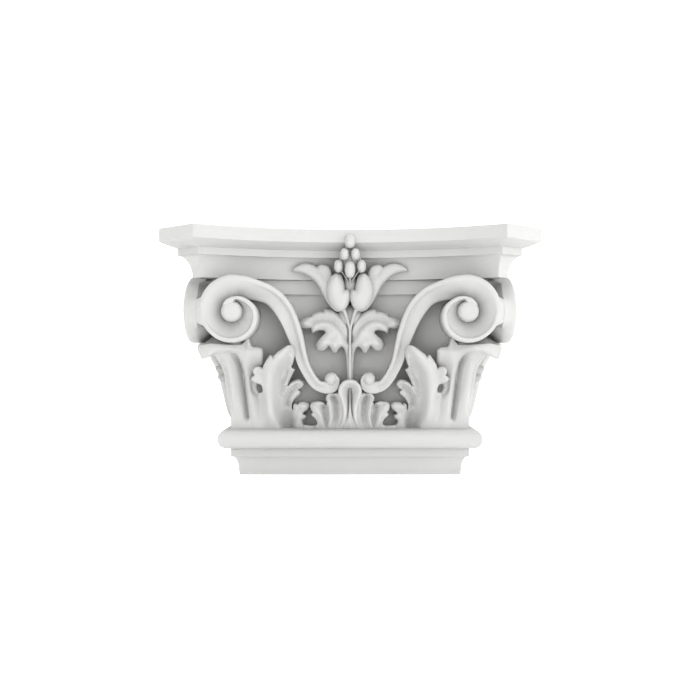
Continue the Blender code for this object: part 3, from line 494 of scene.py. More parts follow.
def folded(points, table, parts=NET_LINE):
    """All soft ridges and valleys of a leaf, from rows of line, half width and height."""
    return sum(height * np.exp(-(distance(points, through(line, parts)) / width) ** 2)
               for line, width, height in table)


def stepped(points, table):
    """All parts of a leaf that stand out or lie back, from its table of levels."""
    return sum(rise * smooth_step(*across, points[:, 0]) * smooth_step(*up, points[:, 1])
               for rise, across, up in table)


def edge_drop(points, loop, width, depth):
    """How far the surface is rounded off near an outline."""
    part = np.clip(distance(points, loop, closed=True) / width, 0, 1)
    return depth * (1 - np.sqrt(1 - (1 - part) ** 2))


def buried(points):
    """A flat back inside the bell."""
    return np.full(len(points), BURIED)


def net_points(loop, lines, spacing):
    """Points of an even net inside an outline that keep clear of it and of the lines."""
    low, high = loop.min(axis=0), loop.max(axis=0)
    grid = []
    for row, z in enumerate(np.arange(low[1], high[1], spacing * sqrt(3) / 2)):
        shift = 0.5 * spacing * (row % 2)
        grid += [(s, z) for s in np.arange(low[0] + shift, high[0], spacing)]
    grid = np.array(grid)
    room = NET_ROOM * spacing
    keep = inside(grid, loop) & (distance(grid, loop, closed=True) > room)
    for line in lines:
        keep &= distance(grid, line) > room
    return grid[keep]


def edge_rows(loop):
    """Rows of points just inside an outline, so that its edge can be rounded."""
    after = np.roll(loop, -1, axis=0)
    run = after - np.roll(loop, 1, axis=0)
    inward = np.column_stack([-run[:, 1], run[:, 0]]) / np.maximum(np.hypot(*run.T), 1e-6)[:, None]
    area = np.sum(loop[:, 0] * after[:, 1] - after[:, 0] * loop[:, 1])
    rows = []
    for depth in EDGE_RINGS:
        ring = loop + inward * depth * (1 if area > 0 else -1)
        clear = inside(ring, loop) & (distance(ring, loop, closed=True) > ROW_CLEAR * depth)
        rows.append(ring[clear])
    return np.vstack(rows)


def relief(loop, front, back, lines, spacing=NET):
    """A closed carving on an outline, with a front and a back height over one net."""
    net = net_points(loop, lines, spacing)
    net = net[distance(net, loop, closed=True) > EDGE_RINGS[-1] + NET_GAP * spacing]
    points = list(loop)
    edges = [(i, (i + 1) % len(loop)) for i in range(len(loop))]
    for line in lines:
        line = line[inside(line, loop) & (distance(line, loop, closed=True) > LINE_ROOM)]
        edges += [(len(points) + i, len(points) + i + 1) for i in range(len(line) - 1)]
        points += list(line)
    points += [*edge_rows(loop), *net]
    mesh = delaunay_2d_cdt([Vector(point) for point in points], edges, [], 1, SAME_POINT)
    flat = np.array([tuple(point) for point in mesh[0]])
    faces = [tuple(face) for face in mesh[2]]
    verts = np.vstack([np.column_stack([flat[:, 0], height(flat), flat[:, 1]])
                       for height in (front, back)])
    count = len(flat)
    sides = {(a, b) for face in faces for a, b in zip(face, face[1:] + face[:1])}
    shell = faces + [tuple(count + i for i in reversed(face)) for face in faces]
    shell += [(b, a, count + a, count + b) for a, b in sides if (b, a) not in sides]
    return verts, shell


def lofted(rings):
    """A closed solid through rings of points that lie one after the other."""
    size = len(rings[0])
    last = (len(rings) - 1) * size
    faces = [tuple(reversed(range(size))), tuple(range(last, last + size))]
    for start in range(0, last, size):
        for i in range(size):
            j = (i + 1) % size
            faces.append((start + i, start + j, start + size + j, start + size + i))
    return np.vstack(rings), faces


def half_plan(face, corner):
    """Right half of a plan: along the front to a corner, and back along the side to the wall."""
    front = [(x, face(x)) for x in np.linspace(0, corner, ARC_PARTS // 2 + 1)]
    side = [(face(e), e) for e in np.linspace(corner, WALL - PAST_WALL, ARC_PARTS // 3 + 1)]
    return front + side


def abacus_plan(inset):
    """Right half of the abacus in plan at an inset."""
    radius = (HORN_HALF ** 2 + ABACUS_SAG ** 2) / (2 * ABACUS_SAG) + inset
    centre = ABACUS_HALF - ABACUS_SAG + radius - inset
    shift = centre - ABACUS_HALF - HORN_HALF + inset * sqrt(2)
    corner = (sqrt(2 * radius ** 2 - shift ** 2) - shift) / 2
    return half_plan(lambda x: centre - sqrt(radius ** 2 - x * x), corner)


def bell_plan(z):
    """Right half of the bell in plan at a height."""
    hollow = smooth_step(ASTRAGAL_TOP, BELL_HOLLOW_TOP, z)
    rise = np.clip((z - ASTRAGAL_TOP) / (LIP_BOTTOM - ASTRAGAL_TOP), 0, 1)
    corner = between(BELL_CORNER_FOOT, BELL_CORNER_TOP, rise)

    def face(x):
        return BELL_FOOT + hollow * (BELL_SAG_RADIUS - sqrt(BELL_SAG_RADIUS ** 2 - x * x))

    # By halving, the place where the face meets the cut of its corner
    low, high = 60, corner
    for _ in range(40):
        middle = 0.5 * (low + high)
        if middle + face(middle) < 2 * corner:
            low = middle
        else:
            high = middle
    return half_plan(face, min(low, corner - 1))


def whole_ring(half, z):
    """A full ring of points at a height from the right half of a plan."""
    left = [(-x, e) for x, e in reversed(half[1:])]
    return np.array([(x, e, z) for x, e in left + list(half)])


def bell_solid():
    """The bell, from behind the astragal up into the lip under the abacus."""
    levels = np.linspace(ASTRAGAL_TOP - BELL_HIDDEN[0], LIP_BOTTOM + BELL_HIDDEN[1], BELL_LEVELS)
    return lofted([whole_ring(bell_plan(z), z) for z in levels])


def lip_solid():
    """The bell's lip: it follows the abacus, but its corners stay behind the volutes."""
    front = [(x, e) for x, e in abacus_plan(LIP_INSET) if x < e and x + e < LIP_CORNER]
    side = [(e, x) for x, e in reversed(front) if x > WALL - PAST_WALL]
    plan = front + side + [(front[0][1], WALL - PAST_WALL)]
    levels = ((LIP_BOTTOM, 0), (COVE_BOTTOM - LIP_STEP, 0), (COVE_BOTTOM, LIP_STEP),
              (COVE_BOTTOM + LIP_HIDDEN, LIP_STEP))
    return lofted([whole_ring([(x, e - inset if x < e else e) for x, e in plan], z)
                   for z, inset in levels])


def channel_drop(inward, room, rim, crisp, deep, low, step, soft):
    """How far the scroll's face lies below its rim, at a distance in from the outer edge.

    Where it is crisp the rim ends in a small step, and elsewhere it rolls over into the channel.
    """
    edge = min(max(inward / (between(*CREST, crisp) * rim), 0), 1)
    rounded = between(*RIM_ROUND, crisp) + LOW_ROUND * low
    rounded *= 1 - sqrt(1 - (1 - edge) ** 2)
    part = min(max((inward - rim) / max(room - rim, 0.5), 0), 1)
    fall = step * crisp * smooth_step(rim - soft, rim + soft, inward)
    return rounded + fall + (deep - step * crisp) * part ** between(*CHANNEL_POWER, crisp)


def band_section(outer, inner, front, rim, crisp, deep, wall, backs, low, step, soft):
    """Section of the scroll or volute between its outer and inner edge, from back to back."""
    outer, inner = np.array(outer), np.array(inner)
    width = np.linalg.norm(inner - outer)
    rim = min(rim, NARROW * width)
    soft = min(soft, NARROW * rim)
    spots = [rim * part for part in RIM_SPOTS] + [rim + soft * part for part in STEP_SPOTS]
    spots += [rim + soft + (width - rim - soft) * part for part in CHANNEL_SPOTS]
    along_width = (inner - outer) / width

    def level(spot):
        return front - channel_drop(spot, width, rim, crisp, deep, low, step, soft)

    behind = outer - wall * along_width
    hollow = outer - WEB_HOLLOW[0] * wall * along_width
    ring = [(behind[0], backs[0], behind[1]),
            (hollow[0], between(level(0), backs[0], WEB_HOLLOW[1]), hollow[1])]
    for spot in spots:
        s, z = outer + along_width * spot
        near = max(spot / width - SOFT_EDGE[0], 0) / (1 - SOFT_EDGE[0])
        bend = SOFT_EDGE[1] * (1 - sqrt(1 - min(near, 1) ** 2))
        ring.append((s, level(spot) - bend, z))
    return np.array(ring + [(inner[0], backs[1], inner[1])])


def turned(angle, radius):
    """Point of the face at a turning angle, from the top outwards, and radius from the eye."""
    turn = radians(angle)
    return EYE[0] + radius * sin(turn), EYE[1] + radius * cos(turn)


def volute_section(angle, shrink):
    """Section of the volute at a turning angle, drawn in a little where it shrinks."""
    ends = smooth_step(*RING_END, angle)
    toward_middle = 0.5 * (1 - sin(radians(angle)))
    deep = between(between(FLOOR_DEEP, FLOOR_SHALLOW, toward_middle), RING_FALL, ends)
    level = VOLUTE_FRONT - shrink - RING_SINKS * smooth_step(*TIP_SINKS, angle)
    level -= RIM_BACK * (1 - max(sin(radians(min(angle, 180))), 0) ** 1.5)
    web = WALL_SPREAD * exp(-((angle - WEB_TURN) / WEB_HALF) ** 4)
    back = between(VOLUTE_BACK, PLATE_BACK, plateau(PLATE_TURNS, angle))
    low = exp(-((angle - LOW_TURN[0]) / LOW_TURN[1]) ** 2)
    return band_section(turned(angle, along(RIM_CURVE, angle) - shrink), turned(angle, EYE_BURIED),
                        level, RIM_WIDTH, smooth_step(*RIM_CRISP, angle) * (1 - ends), deep, web,
                        (back, VOLUTE_BACK), low, FLOOR_STEP, RIM_SOFT)


def volute():
    """The second half of the spiral, which winds in until it runs into the eye."""
    turns = np.arange(VOLUTE_JOINT, RIM_RADII[-1][0] + 1, TURN_STEP)
    return lofted([volute_section(turn, JOINT_GAP[1] * (turn < VOLUTE_JOINT + JOINT_GAP[0]))
                   for turn in turns])


def scroll():
    """The band from the small curl up to the volute's top and half round it."""
    outer, inner = (through([row[edge] for row in SCROLL], SCROLL_PARTS) for edge in (0, 1))
    front = through([row[2:] for row in SCROLL], SCROLL_PARTS)[:, 0]
    start = VOLUTE_JOINT + JOINT_OVERLAP
    sinks = VOLUTE_JOINT + JOINT_SINKS[0]
    rings = [volute_section(turn, JOINT_SINKS[1] * smooth_step(sinks, start, turn))
             for turn in np.arange(start, -1, -TURN_STEP)]
    for index, (a, b, top) in enumerate(zip(outer, inner, front)):
        row = index / SCROLL_PARTS
        into = smooth_step(*VOLUTE_ROWS, row)
        joins = smooth_step(*CURL_JOIN, row)
        deep = (SCROLL_STEP - SCROLL_RISE) * (1 - into) * (1 - joins)
        deep += into * 0.5 * (FLOOR_DEEP + FLOOR_SHALLOW)
        rings.append(band_section(
            a, b, top, between(SCROLL_RIM, RIM_WIDTH, into),
            smooth_step(*SCROLL_CRISP, row) * (1 - joins), deep, 0,
            [between(BURIED, VOLUTE_BACK, into)] * 2, 0,
            between(SCROLL_STEP, FLOOR_STEP, into), between(SCROLL_SOFT, RIM_SOFT, into)))
    return lofted(rings)


def leaf_raised(place, across, z):
    """How far a point of the corner leaf's flank stands out from its plain flare."""
    offset = across - along(GROOVE_LINE, z)
    half, steep = GROOVE_SHARP if offset > 0 else GROOVE_SOFT
    raised = -GROOVE_DEPTH * plateau(GROOVE_RISES, z) * exp(-abs(offset / half) ** steep)
    rib = abs((place - RIB_PLACE) / RIB_HALF) ** 3
    raised += RIB_HEIGHT * exp(-rib) * plateau(RIB_RISES, z)
    grows = smooth_step(*RIDGE_GROWS, z)
    half = RIDGE_HALF[1 if place > 0 else 0]
    raised += between(*RIDGE_HEIGHTS, grows) * exp(-(place / half) ** 2)
    middle, half, depth = HOLLOW
    hollow = depth * exp(-((place - middle) / half) ** 2)
    return raised - grows * hollow * smooth_step(*HOLLOW_ENDS, z)


def leaf_column(place):
    """One column of the corner leaf, from its foot up over the lip and down its buried back."""
    top = along(LEAF_TOP, place)
    round_off = LIP_ROUNDING * smooth_step(*ROUND_PLACES, place)
    droop = LIP_DROOP * smooth_step(*DROOP_PLACES, place)
    inner = smooth_step(*INNER_PLACES, place)
    foot, rim = FLARE[0][0], FLARE[-1][0]
    rows = []
    for z in np.linspace(foot, rim, LEAF_ROWS):
        outer_flare = along(FLARE_CURVE, z) * (1 - round_off / FLARE[-1][1])
        flare = between(outer_flare, along(INNER_CURVE, z), inner)
        level = z - droop * smooth_step(*LIP_HANGS, outer_flare + round_off)
        ridge = along(RIDGE_LINE, z)
        reach = LEAF_FOOT + flare - ridge if place >= 0 else INNER_REACH
        rows.append((flare + leaf_raised(place, ridge + place * reach, z), level, z))
    lip, low = rows[-1][0], rows[-1][1]
    half = 0.5 * (top - low)
    for turn in LIP_TURNS:
        swell, rise = sin(radians(turn)), 1 - cos(radians(turn))
        rows.append((lip + LIP_ROLL * (1 - inner) * swell - LIP_INWARD * inner * rise,
                     low + half * rise, rim))
    back_top = top + LIP_RISE * smooth_step(*RISE_PLACES, place)
    rows += [(lip - back - more * inner, top + rise, rim) for back, more, rise in LIP_EDGE]
    rows += [(lip - LIP_DEPTH, back_top, rim), (-LIP_DEPTH, back_top, rim)]
    rows += [(flare, level, foot) for flare, level in LEAF_BACK]
    points = []
    for flare, level, z in rows:
        h = LEAF_FOOT + flare
        ridge = along(RIDGE_LINE, z)
        edge = h if place >= 0 else along(INNER_LINE, z)
        points.append((ridge + abs(place) * (edge - ridge), h, level))
    return np.array(points)


def leaf_margin(column, depth):
    """The leaf's inner edge rounded back: a copy of a column set back and in by a quarter turn."""
    rounded = column.copy()
    back = MARGIN * (1 - cos(radians(depth)))
    rounded[:-BACK_ROWS, 0] -= MARGIN * sin(radians(depth))
    rounded[:-BACK_ROWS, 1] -= back
    rounded[-TOP_ROWS:, 2] -= TOP_SINKS * back
    return rounded


def corner_leaf():
    """The fluted leaf under a corner, symmetric about the diagonal."""
    places = np.concatenate([np.linspace(*run) for run in LEAF_PLACES])
    columns = [leaf_column(place) for place in places]
    columns += [leaf_margin(columns[-1], depth) for depth in MARGIN_TURNS]
    mirrored = [column[:, [1, 0, 2]] for column in reversed(columns[1:])]
    return lofted(mirrored + columns)


def foot_lean(points, height):
    """How far a leaf's foot leans back towards the bell."""
    return smooth_step(*FOOT_LEAN, points[:, 1]) * np.maximum(height - FOOT_FRONT, 0)


def beyond(points, line):
    """How far points lie outwards of a line that runs up the leaf."""
    rows = sorted((z, s) for s, z in line)
    return points[:, 0] - along(rows, points[:, 1])


def acanthus():
    """The large leaf beside the corner leaf."""
    loop = outline(ACANTHUS)
    breaks = through(ACANTHUS_BREAK, 8)
    edge, reach, level = ACANTHUS_JOIN
    middle, half, depth, begins = FOOT_HOLLOW

    def front(points):
        s, z = points.T
        height = along(ACANTHUS_LEAN, z) + stepped(points, ACANTHUS_LEVELS)
        height += folded(points, ACANTHUS_FOLDS, 8) + folded(points, LOBE_FOLDS)
        height -= BREAK_DROP[0] * smooth_step(*BREAK_DROP[1], -beyond(points, breaks))
        height -= depth * smooth_step(*begins, z) * np.exp(-((s - middle) / half) ** 2)
        height -= edge_drop(points, loop, *ACANTHUS_EDGE)
        height -= foot_lean(points, height)
        joins = smooth_step(*JOIN_HEIGHTS, z) * (1 - smooth_step(0, reach, edge - s))
        return height - joins * np.maximum(height - level, 0)

    def back(points):
        lean = along(ACANTHUS_LEAN, points[:, 1])
        return between(BURIED, lean - LEAF_THICKNESS, smooth_step(*ACANTHUS_FREE, points[:, 1]))

    creases = [through(line, NET_LINE) for line in (LOBE_VALLEY, ACANTHUS_MARGIN)]
    return relief(loop, front, back, creases)


def leaf(corners, level, folds, levels, edge, creases, spacing):
    """A small leaf: an even front with folds and raised parts, rounded at its edge."""
    loop = outline(corners)

    def front(points):
        height = level + folded(points, folds) + stepped(points, levels)
        height -= edge_drop(points, loop, *edge)
        return height - foot_lean(points, height)

    return relief(loop, front, buried, [through(line, NET_LINE) for line in creases], spacing)


def middle_leaf():
    """The leaf on the middle of the face, hollowed between its raised edges."""
    right = through(MIDDLE_LEAF, 5)
    loop = np.vstack([right, (right[::-1] * (-1, 1))[:-1]])

    def front(points):
        mirrored = np.abs(points)
        s, z = mirrored.T
        depth = between(*MIDDLE_DEPTHS, smooth_step(*MIDDLE_DEEPENS, z))
        bowl = depth * smooth_step(*MIDDLE_SIDE, distance(points, loop))
        rib = (TONGUE_RISE[0] + TONGUE_RISE[1] * depth) * smooth_step(*TONGUE_TOP, z)
        rib *= np.exp(-(s / along(TONGUE_HALF, z)) ** 4)
        height = MIDDLE_FRONT - bowl + rib + folded(mirrored, ((TONGUE, *TONGUE_GROOVE),), 8)
        height -= edge_drop(points, loop, *MIDDLE_EDGE)
        return height - foot_lean(points, height)

    return relief(loop, front, buried, [through(TONGUE, 8)], MIDDLE_NET)


def on_side(side, s, h):
    """A place of a face turned to plan coordinates on one side of the capital."""
    return {"front_right": (s, h), "front_left": (-s, h),
            "side_right": (h, s), "side_left": (-h, s)}[side]


def clear_selection():
    """Nothing is selected, and no object is being edited."""
    if bpy.context.object and bpy.context.object.mode != "OBJECT":
        bpy.ops.object.mode_set(mode="OBJECT")
    bpy.ops.object.select_all(action="DESELECT")


def in_metres(x, e, z):
    """A point in plan coordinates over the frame: x to the right, the front facing -y, z up."""
    return x * MM, (BED_MIDDLE - e) * MM, z * MM


def make_object(name, verts, faces):
    """A closed object over the frame, from points in plan coordinates."""
    mesh = bpy.data.meshes.new(name)
    mesh.from_pydata([in_metres(*point) for point in verts], [], faces)
    shape = bmesh.new()
    shape.from_mesh(mesh)
    bmesh.ops.remove_doubles(shape, verts=shape.verts, dist=WELD)
    bmesh.ops.triangulate(shape, faces=[f for f in shape.faces if len(f.verts) > 4])
    bmesh.ops.recalc_face_normals(shape, faces=shape.faces)
    shape.to_mesh(mesh)
    shape.free()
    bpy.context.scene.collection.objects.link(bpy.data.objects.new(name, mesh))


def carve(name, solid, sides):
    """The same carving on each of some sides of the capital."""
    verts, faces = solid
    s, h, z = verts.T
    for side in sides:
        make_object(f"form_{name}_{side}", np.column_stack([*on_side(side, s, h), z]), faces)


def pick(item):
    """Select one object alone and make it the active one."""
    clear_selection()
    item.select_set(True)
    bpy.context.view_layer.objects.active = item


def bake_place(item):
    """Bake an object's place and scale into its mesh."""
    pick(item)
    bpy.ops.object.transform_apply(location=True, rotation=True, scale=True)


def ball(name, centre, radii, sides, powers=(2, 2)):
    """A round form on each of some sides, from a sphere stretched along each direction.

    The powers of its outline and of its front make it squarer where they are over 2.
    """
    s, z, h = centre
    for side in sides:
        wide, high, deep = radii if side in FRONT else radii[::-1]
        clear_selection()
        bpy.ops.mesh.primitive_uv_sphere_add(segments=40, ring_count=24, radius=1,
                                             location=in_metres(*on_side(side, s, h), z))
        item = bpy.context.object
        item.name = f"form_{name}_{side}"
        item.scale = (wide * MM, deep * MM, high * MM)
        for vertex in item.data.vertices:
            across, out, up = (abs(value) for value in vertex.co)
            if side in SIDES:
                across, out = out, across
            plan = (across ** powers[0] + up ** powers[0]) ** (1 / powers[0])
            vertex.co /= (plan ** powers[1] + out ** powers[1]) ** (1 / powers[1])
        bake_place(item)


def rod(name, points, sides):
    """A round stem through points, each with its radius, as a bevelled curve made into a mesh."""
    for side in sides:
        curve = bpy.data.curves.new(name, "CURVE")
        curve.dimensions = "3D"
        curve.bevel_depth = MM
        curve.bevel_resolution = 4
        curve.use_fill_caps = True
        route = through(points, NET_LINE)
        spline = curve.splines.new("POLY")
        spline.points.add(len(route) - 1)
        for point, (s, z, h, radius) in zip(spline.points, route):
            point.radius = radius
            point.co = (*in_metres(*on_side(side, s, h), z), 1)
        item = bpy.data.objects.new(f"form_{name}_{side}", curve)
        bpy.context.scene.collection.objects.link(item)
        pick(item)
        bpy.ops.object.convert(target="MESH")
        bpy.ops.object.mode_set(mode="EDIT")
        bpy.ops.mesh.select_all(action="SELECT")
        bpy.ops.mesh.remove_doubles(threshold=2 * WELD)
        bpy.ops.mesh.normals_make_consistent(inside=False)
        bpy.ops.object.mode_set(mode="OBJECT")


def foot_rows():
    """Half width and height of the neck and astragal, from the bed up."""
    start = SHAFT_HALF + NECK_COVE_INSET
    reach = NECK_FILLET - NECK_COVE_STEP - start
    rise = NECK_FILLET_BOTTOM - NECK_COVE_BOTTOM
    rows = [(SHAFT_HALF, 0)]
    for turn in np.radians(range(0, 91, 10)):
        rows.append((start + reach * (1 - cos(turn)), NECK_COVE_BOTTOM + rise * sin(turn)))
    rows += [(NECK_FILLET, NECK_FILLET_BOTTOM), (NECK_FILLET, ASTRAGAL_BOTTOM)]
    radius = (ASTRAGAL_TOP - ASTRAGAL_BOTTOM) / 2
    for turn in np.radians(range(-90, 91, 10)):
        rows.append((ASTRAGAL_CENTRE + radius * cos(turn),
                     ASTRAGAL_BOTTOM + radius * (1 + sin(turn))))
    return rows


def moulded(name, rows):
    """A square moulding: a square face drawn up and widened row by row."""
    half, level = rows[0]
    clear_selection()
    centre = in_metres(0, 0, 0)
    bpy.ops.mesh.primitive_plane_add(size=2 * half * MM, location=centre)
    item = bpy.context.object
    item.name = name
    bake_place(item)
    bpy.ops.object.mode_set(mode="EDIT")
    bpy.ops.mesh.select_all(action="SELECT")
    for wide, z in rows[1:]:
        bpy.ops.mesh.extrude_region_move(TRANSFORM_OT_translate={"value": (0, 0, (z - level) * MM)})
        if abs(wide - half) > 1e-6:
            bpy.ops.transform.resize(value=(wide / half, wide / half, 1), center_override=centre)
        half, level = wide, z
    bpy.ops.mesh.select_all(action="SELECT")
    bpy.ops.mesh.normals_make_consistent(inside=False)
    bpy.ops.object.mode_set(mode="OBJECT")


def abacus_solid():
    """The abacus with its mouldings, down to the lip of the bell."""
    mouldings = []
    for turn in np.radians(range(0, 90, 8)):
        mouldings.append((COVE_BOTTOM + (FILLET_BOTTOM - COVE_BOTTOM) * sin(turn),
                          between(FILLET_INSET, COVE_INSET, cos(turn))))
    mouldings += [(FILLET_BOTTOM, FILLET_INSET), (SOFFIT_BOTTOM, FILLET_INSET)]
    for part in (0.25, 0.5, 0.75):
        mouldings.append((between(SOFFIT_BOTTOM, FASCIA_BOTTOM, part),
                          FILLET_INSET * (1 - part) - SOFFIT_SWELL * sin(pi * part)))
    mouldings += [(FASCIA_BOTTOM, 0), (HEIGHT - TOP_BEVEL, 0), (HEIGHT, TOP_BEVEL)]
    return lofted([whole_ring(abacus_plan(inset), z) for z, inset in mouldings])


def plaster():
    """Matt white plaster: faintly uneven in tone, with a fine cast grain."""
    look = bpy.context.scene.capital_finish
    material = bpy.data.materials.new("white_plaster")
    material.use_nodes = True
    nodes, links = material.node_tree.nodes, material.node_tree.links
    shader = nodes["Principled BSDF"]
    shader.inputs["Metallic"].default_value = 0.0
    shader.inputs["Specular IOR Level"].default_value = 0.35
    place = nodes.new("ShaderNodeTexCoord")

    def noise(scale, detail):
        node = nodes.new("ShaderNodeTexNoise")
        node.inputs["Scale"].default_value = scale
        node.inputs["Detail"].default_value = detail
        node.inputs["Roughness"].default_value = 0.55
        links.new(place.outputs["Object"], node.inputs["Vector"])
        return node.outputs["Fac"]

    def ramp(source, target, colours):
        node = nodes.new("ShaderNodeValToRGB")
        for stop, position, colour in zip(node.color_ramp.elements, NOISE_RANGE, colours):
            stop.position = position
            stop.color = (*colour, 1.0)
        links.new(noise(*source), node.inputs["Fac"])
        links.new(node.outputs["Color"], shader.inputs[target])

    ramp(TONE_NOISE, "Base Color",
         ([part * c for part, c in zip(TONE_LOW, look.colour)], look.colour))
    ramp(DRY_NOISE, "Roughness", [[look.roughness + turn] * 3 for turn in DRY_RANGE])
    bumped = None
    for scale, detail, strength, height in (GRAIN, SWELL):
        bump = nodes.new("ShaderNodeBump")
        bump.inputs["Strength"].default_value = strength
        bump.inputs["Distance"].default_value = height
        links.new(noise(scale, detail), bump.inputs["Height"])
        if bumped:
            links.new(bumped.outputs["Normal"], bump.inputs["Normal"])
        bumped = bump
    links.new(bumped.outputs["Normal"], shader.inputs["Normal"])
    return material


def floor_material(colour, glow):
    """The floor's even white finish, which gives off a little light by itself."""
    material = bpy.data.materials.new("floor_white")
    material.use_nodes = True
    inputs = material.node_tree.nodes["Principled BSDF"].inputs
    inputs["Roughness"].default_value = 0.9
    for socket in ("Base Color", "Emission Color"):
        inputs[socket].default_value = (*colour, 1.0)
    inputs["Emission Strength"].default_value = glow
    return material


class CapitalFinish(bpy.types.PropertyGroup):
    """Colour and dryness of the plaster."""
    colour: bpy.props.FloatVectorProperty(
        name="Plaster colour", description="Base colour of the plaster",
        subtype="COLOR", size=3, min=0.0, max=1.0, default=(0.62, 0.62, 0.616))
    roughness: bpy.props.FloatProperty(
        name="Roughness", description="How matt the plaster is", min=0.3, max=1.0, default=0.75)


class CapitalStage(bpy.types.PropertyGroup):
    """Floor, lights and camera."""
    floor_size: bpy.props.FloatProperty(
        name="Floor size", description="Side of the floor", unit="LENGTH", default=60.0)
    floor_colour: bpy.props.FloatVectorProperty(
        name="Floor colour", description="Base colour of the floor",
        subtype="COLOR", size=3, default=(0.93, 0.93, 0.93))
    lens: bpy.props.FloatProperty(
        name="Lens", description="Focal length of the camera in millimetres", default=50.0)
    camera_distance: bpy.props.FloatProperty(
        name="Camera distance", description="From the front of the capital to the camera",
        unit="LENGTH", default=0.9756)
    camera_height: bpy.props.FloatProperty(
        name="Camera height", description="Height of the camera over the bed",
        unit="LENGTH", default=0.1352)
    key_power: bpy.props.FloatProperty(
        name="Key light", description="Power of the soft light on the right", default=5.0)
    floor_glow: bpy.props.FloatProperty(
        name="Floor glow", description="Light that the floor gives off by itself", default=0.30)
    contrast: bpy.props.FloatProperty(
        name="Gamma", description="Gamma of the picture; below 1 the shadows are deeper",
        min=0.5, max=1.5, default=0.62)
    sky_strength: bpy.props.FloatProperty(
        name="Sky", description="Strength of the even light all round", default=1.27)


class CAPITAL_OT_mouldings(bpy.types.Operator):
    """Make the abacus, the bell and the neck with its astragal"""
    bl_idname = "capital.mouldings"
    bl_label = "Mouldings"

    def execute(self, context):
        make_object("form_abacus", *abacus_solid())
        make_object("form_bell", *bell_solid())
        make_object("form_lip", *lip_solid())
        moulded("form_foot", foot_rows())
        return {"FINISHED"}


class CAPITAL_OT_volutes(bpy.types.Operator):
    """Carve the volutes with their eyes, scrolls and small curls"""
    bl_idname = "capital.volutes"
    bl_label = "Volutes and scrolls"

    def execute(self, context):
        carve("volute", volute(), FRONT + SIDES)
        carve("scroll", scroll(), FRONT + SIDES)
        ball("eye", (*EYE, VOLUTE_FRONT - RIM_BACK - EYE_DOME + EYE_OUT),
             (EYE_RADIUS, EYE_RADIUS, EYE_DOME), FRONT + SIDES, (2.0, EYE_SQUARE))
        ball("curl", (*CURL, CURL_FRONT - CURL_RADIUS), [CURL_RADIUS] * 3, FRONT)
        return {"FINISHED"}


class CAPITAL_OT_leaves(bpy.types.Operator):
    """Carve the corner leaves, the acanthus leaves and the small leaves in the middle"""
    bl_idname = "capital.leaves"
    bl_label = "Leaves"

    def execute(self, context):
        carve("corner_leaf", corner_leaf(), FRONT)
        carve("acanthus", acanthus(), FRONT + SIDES)
        carve("outer_lobe", leaf(*OUTER_LEAF), FRONT)
        carve("inner_lobe", leaf(*INNER_LEAF), FRONT)
        carve("middle_leaf", middle_leaf(), FRONT[:1])
        return {"FINISHED"}


class CAPITAL_OT_spray(bpy.types.Operator):
    """Carve the spray over the middle: stems, hanging leaves, petals, buds and berries"""
    bl_idname = "capital.spray"
    bl_label = "Spray"

    def execute(self, context):
        carve("hanging_leaf", leaf(*HANGING), FRONT)
        carve("petal", leaf(*PETAL_LEAF), FRONT)
        carve("bud", leaf(*BUD_LEAF), FRONT)
        rod("side_stem", SIDE_STEM, FRONT)
        rod("middle_stem", MIDDLE_STEM, FRONT[:1])
        rod("top_stem", BERRY_STEMS[0], FRONT[:1])
        rod("berry_stem", BERRY_STEMS[1], FRONT)
        for form in BUNCH:
            ball(*form, FRONT[:1])
        for number, (centre, radii) in enumerate(BERRIES):
            sides = FRONT if centre[0] > 0.0 else FRONT[:1]
            ball(f"berry_{number}", centre, radii, sides, BERRY_SQUARE)
        return {"FINISHED"}


class CAPITAL_OT_cast(bpy.types.Operator):
    """Unite the forms into one casting, cut it off at the wall and finish it in plaster"""
    bl_idname = "capital.cast"
    bl_label = "Cast in plaster"

    def execute(self, context):
        forms = [item for item in bpy.data.objects if item.name.startswith("form_")]
        capital = bpy.data.objects["form_abacus"]
        forms.remove(capital)
        clear_selection()
        bpy.ops.mesh.primitive_cube_add(size=4 * ABACUS_HALF * MM, location=(
            0.0, (WALL_PLANE + 2 * ABACUS_HALF) * MM, HEIGHT / 2 * MM))
        wall = bpy.context.object
        bake_place(wall)
        pick(capital)
        for item in forms + [wall]:
            step = capital.modifiers.new(item.name, "BOOLEAN")
            step.operation = "DIFFERENCE" if item is wall else "UNION"
            step.object = item
            step.solver = "MANIFOLD"
            bpy.ops.object.modifier_apply(modifier=step.name)
        for item in forms + [wall]:
            bpy.data.objects.remove(item, do_unlink=True)
        capital.name = "capital"
        capital.data.materials.clear()
        capital.data.materials.append(plaster())
        bpy.ops.object.shade_smooth_by_angle(angle=SHARP_ANGLE)
        shape = bmesh.new()
        shape.from_mesh(capital.data)
        loose = sum(1 for edge in shape.edges if len(edge.link_faces) != 2)
        count = sum(len(face.verts) - 2 for face in shape.faces)
        shape.free()
        print("capital: triangles", count, "open edges", loose)
        if loose:
            raise RuntimeError("the casting isn't closed")
        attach(capital, "root")
        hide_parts("pilaster_capital")
        return {"FINISHED"}


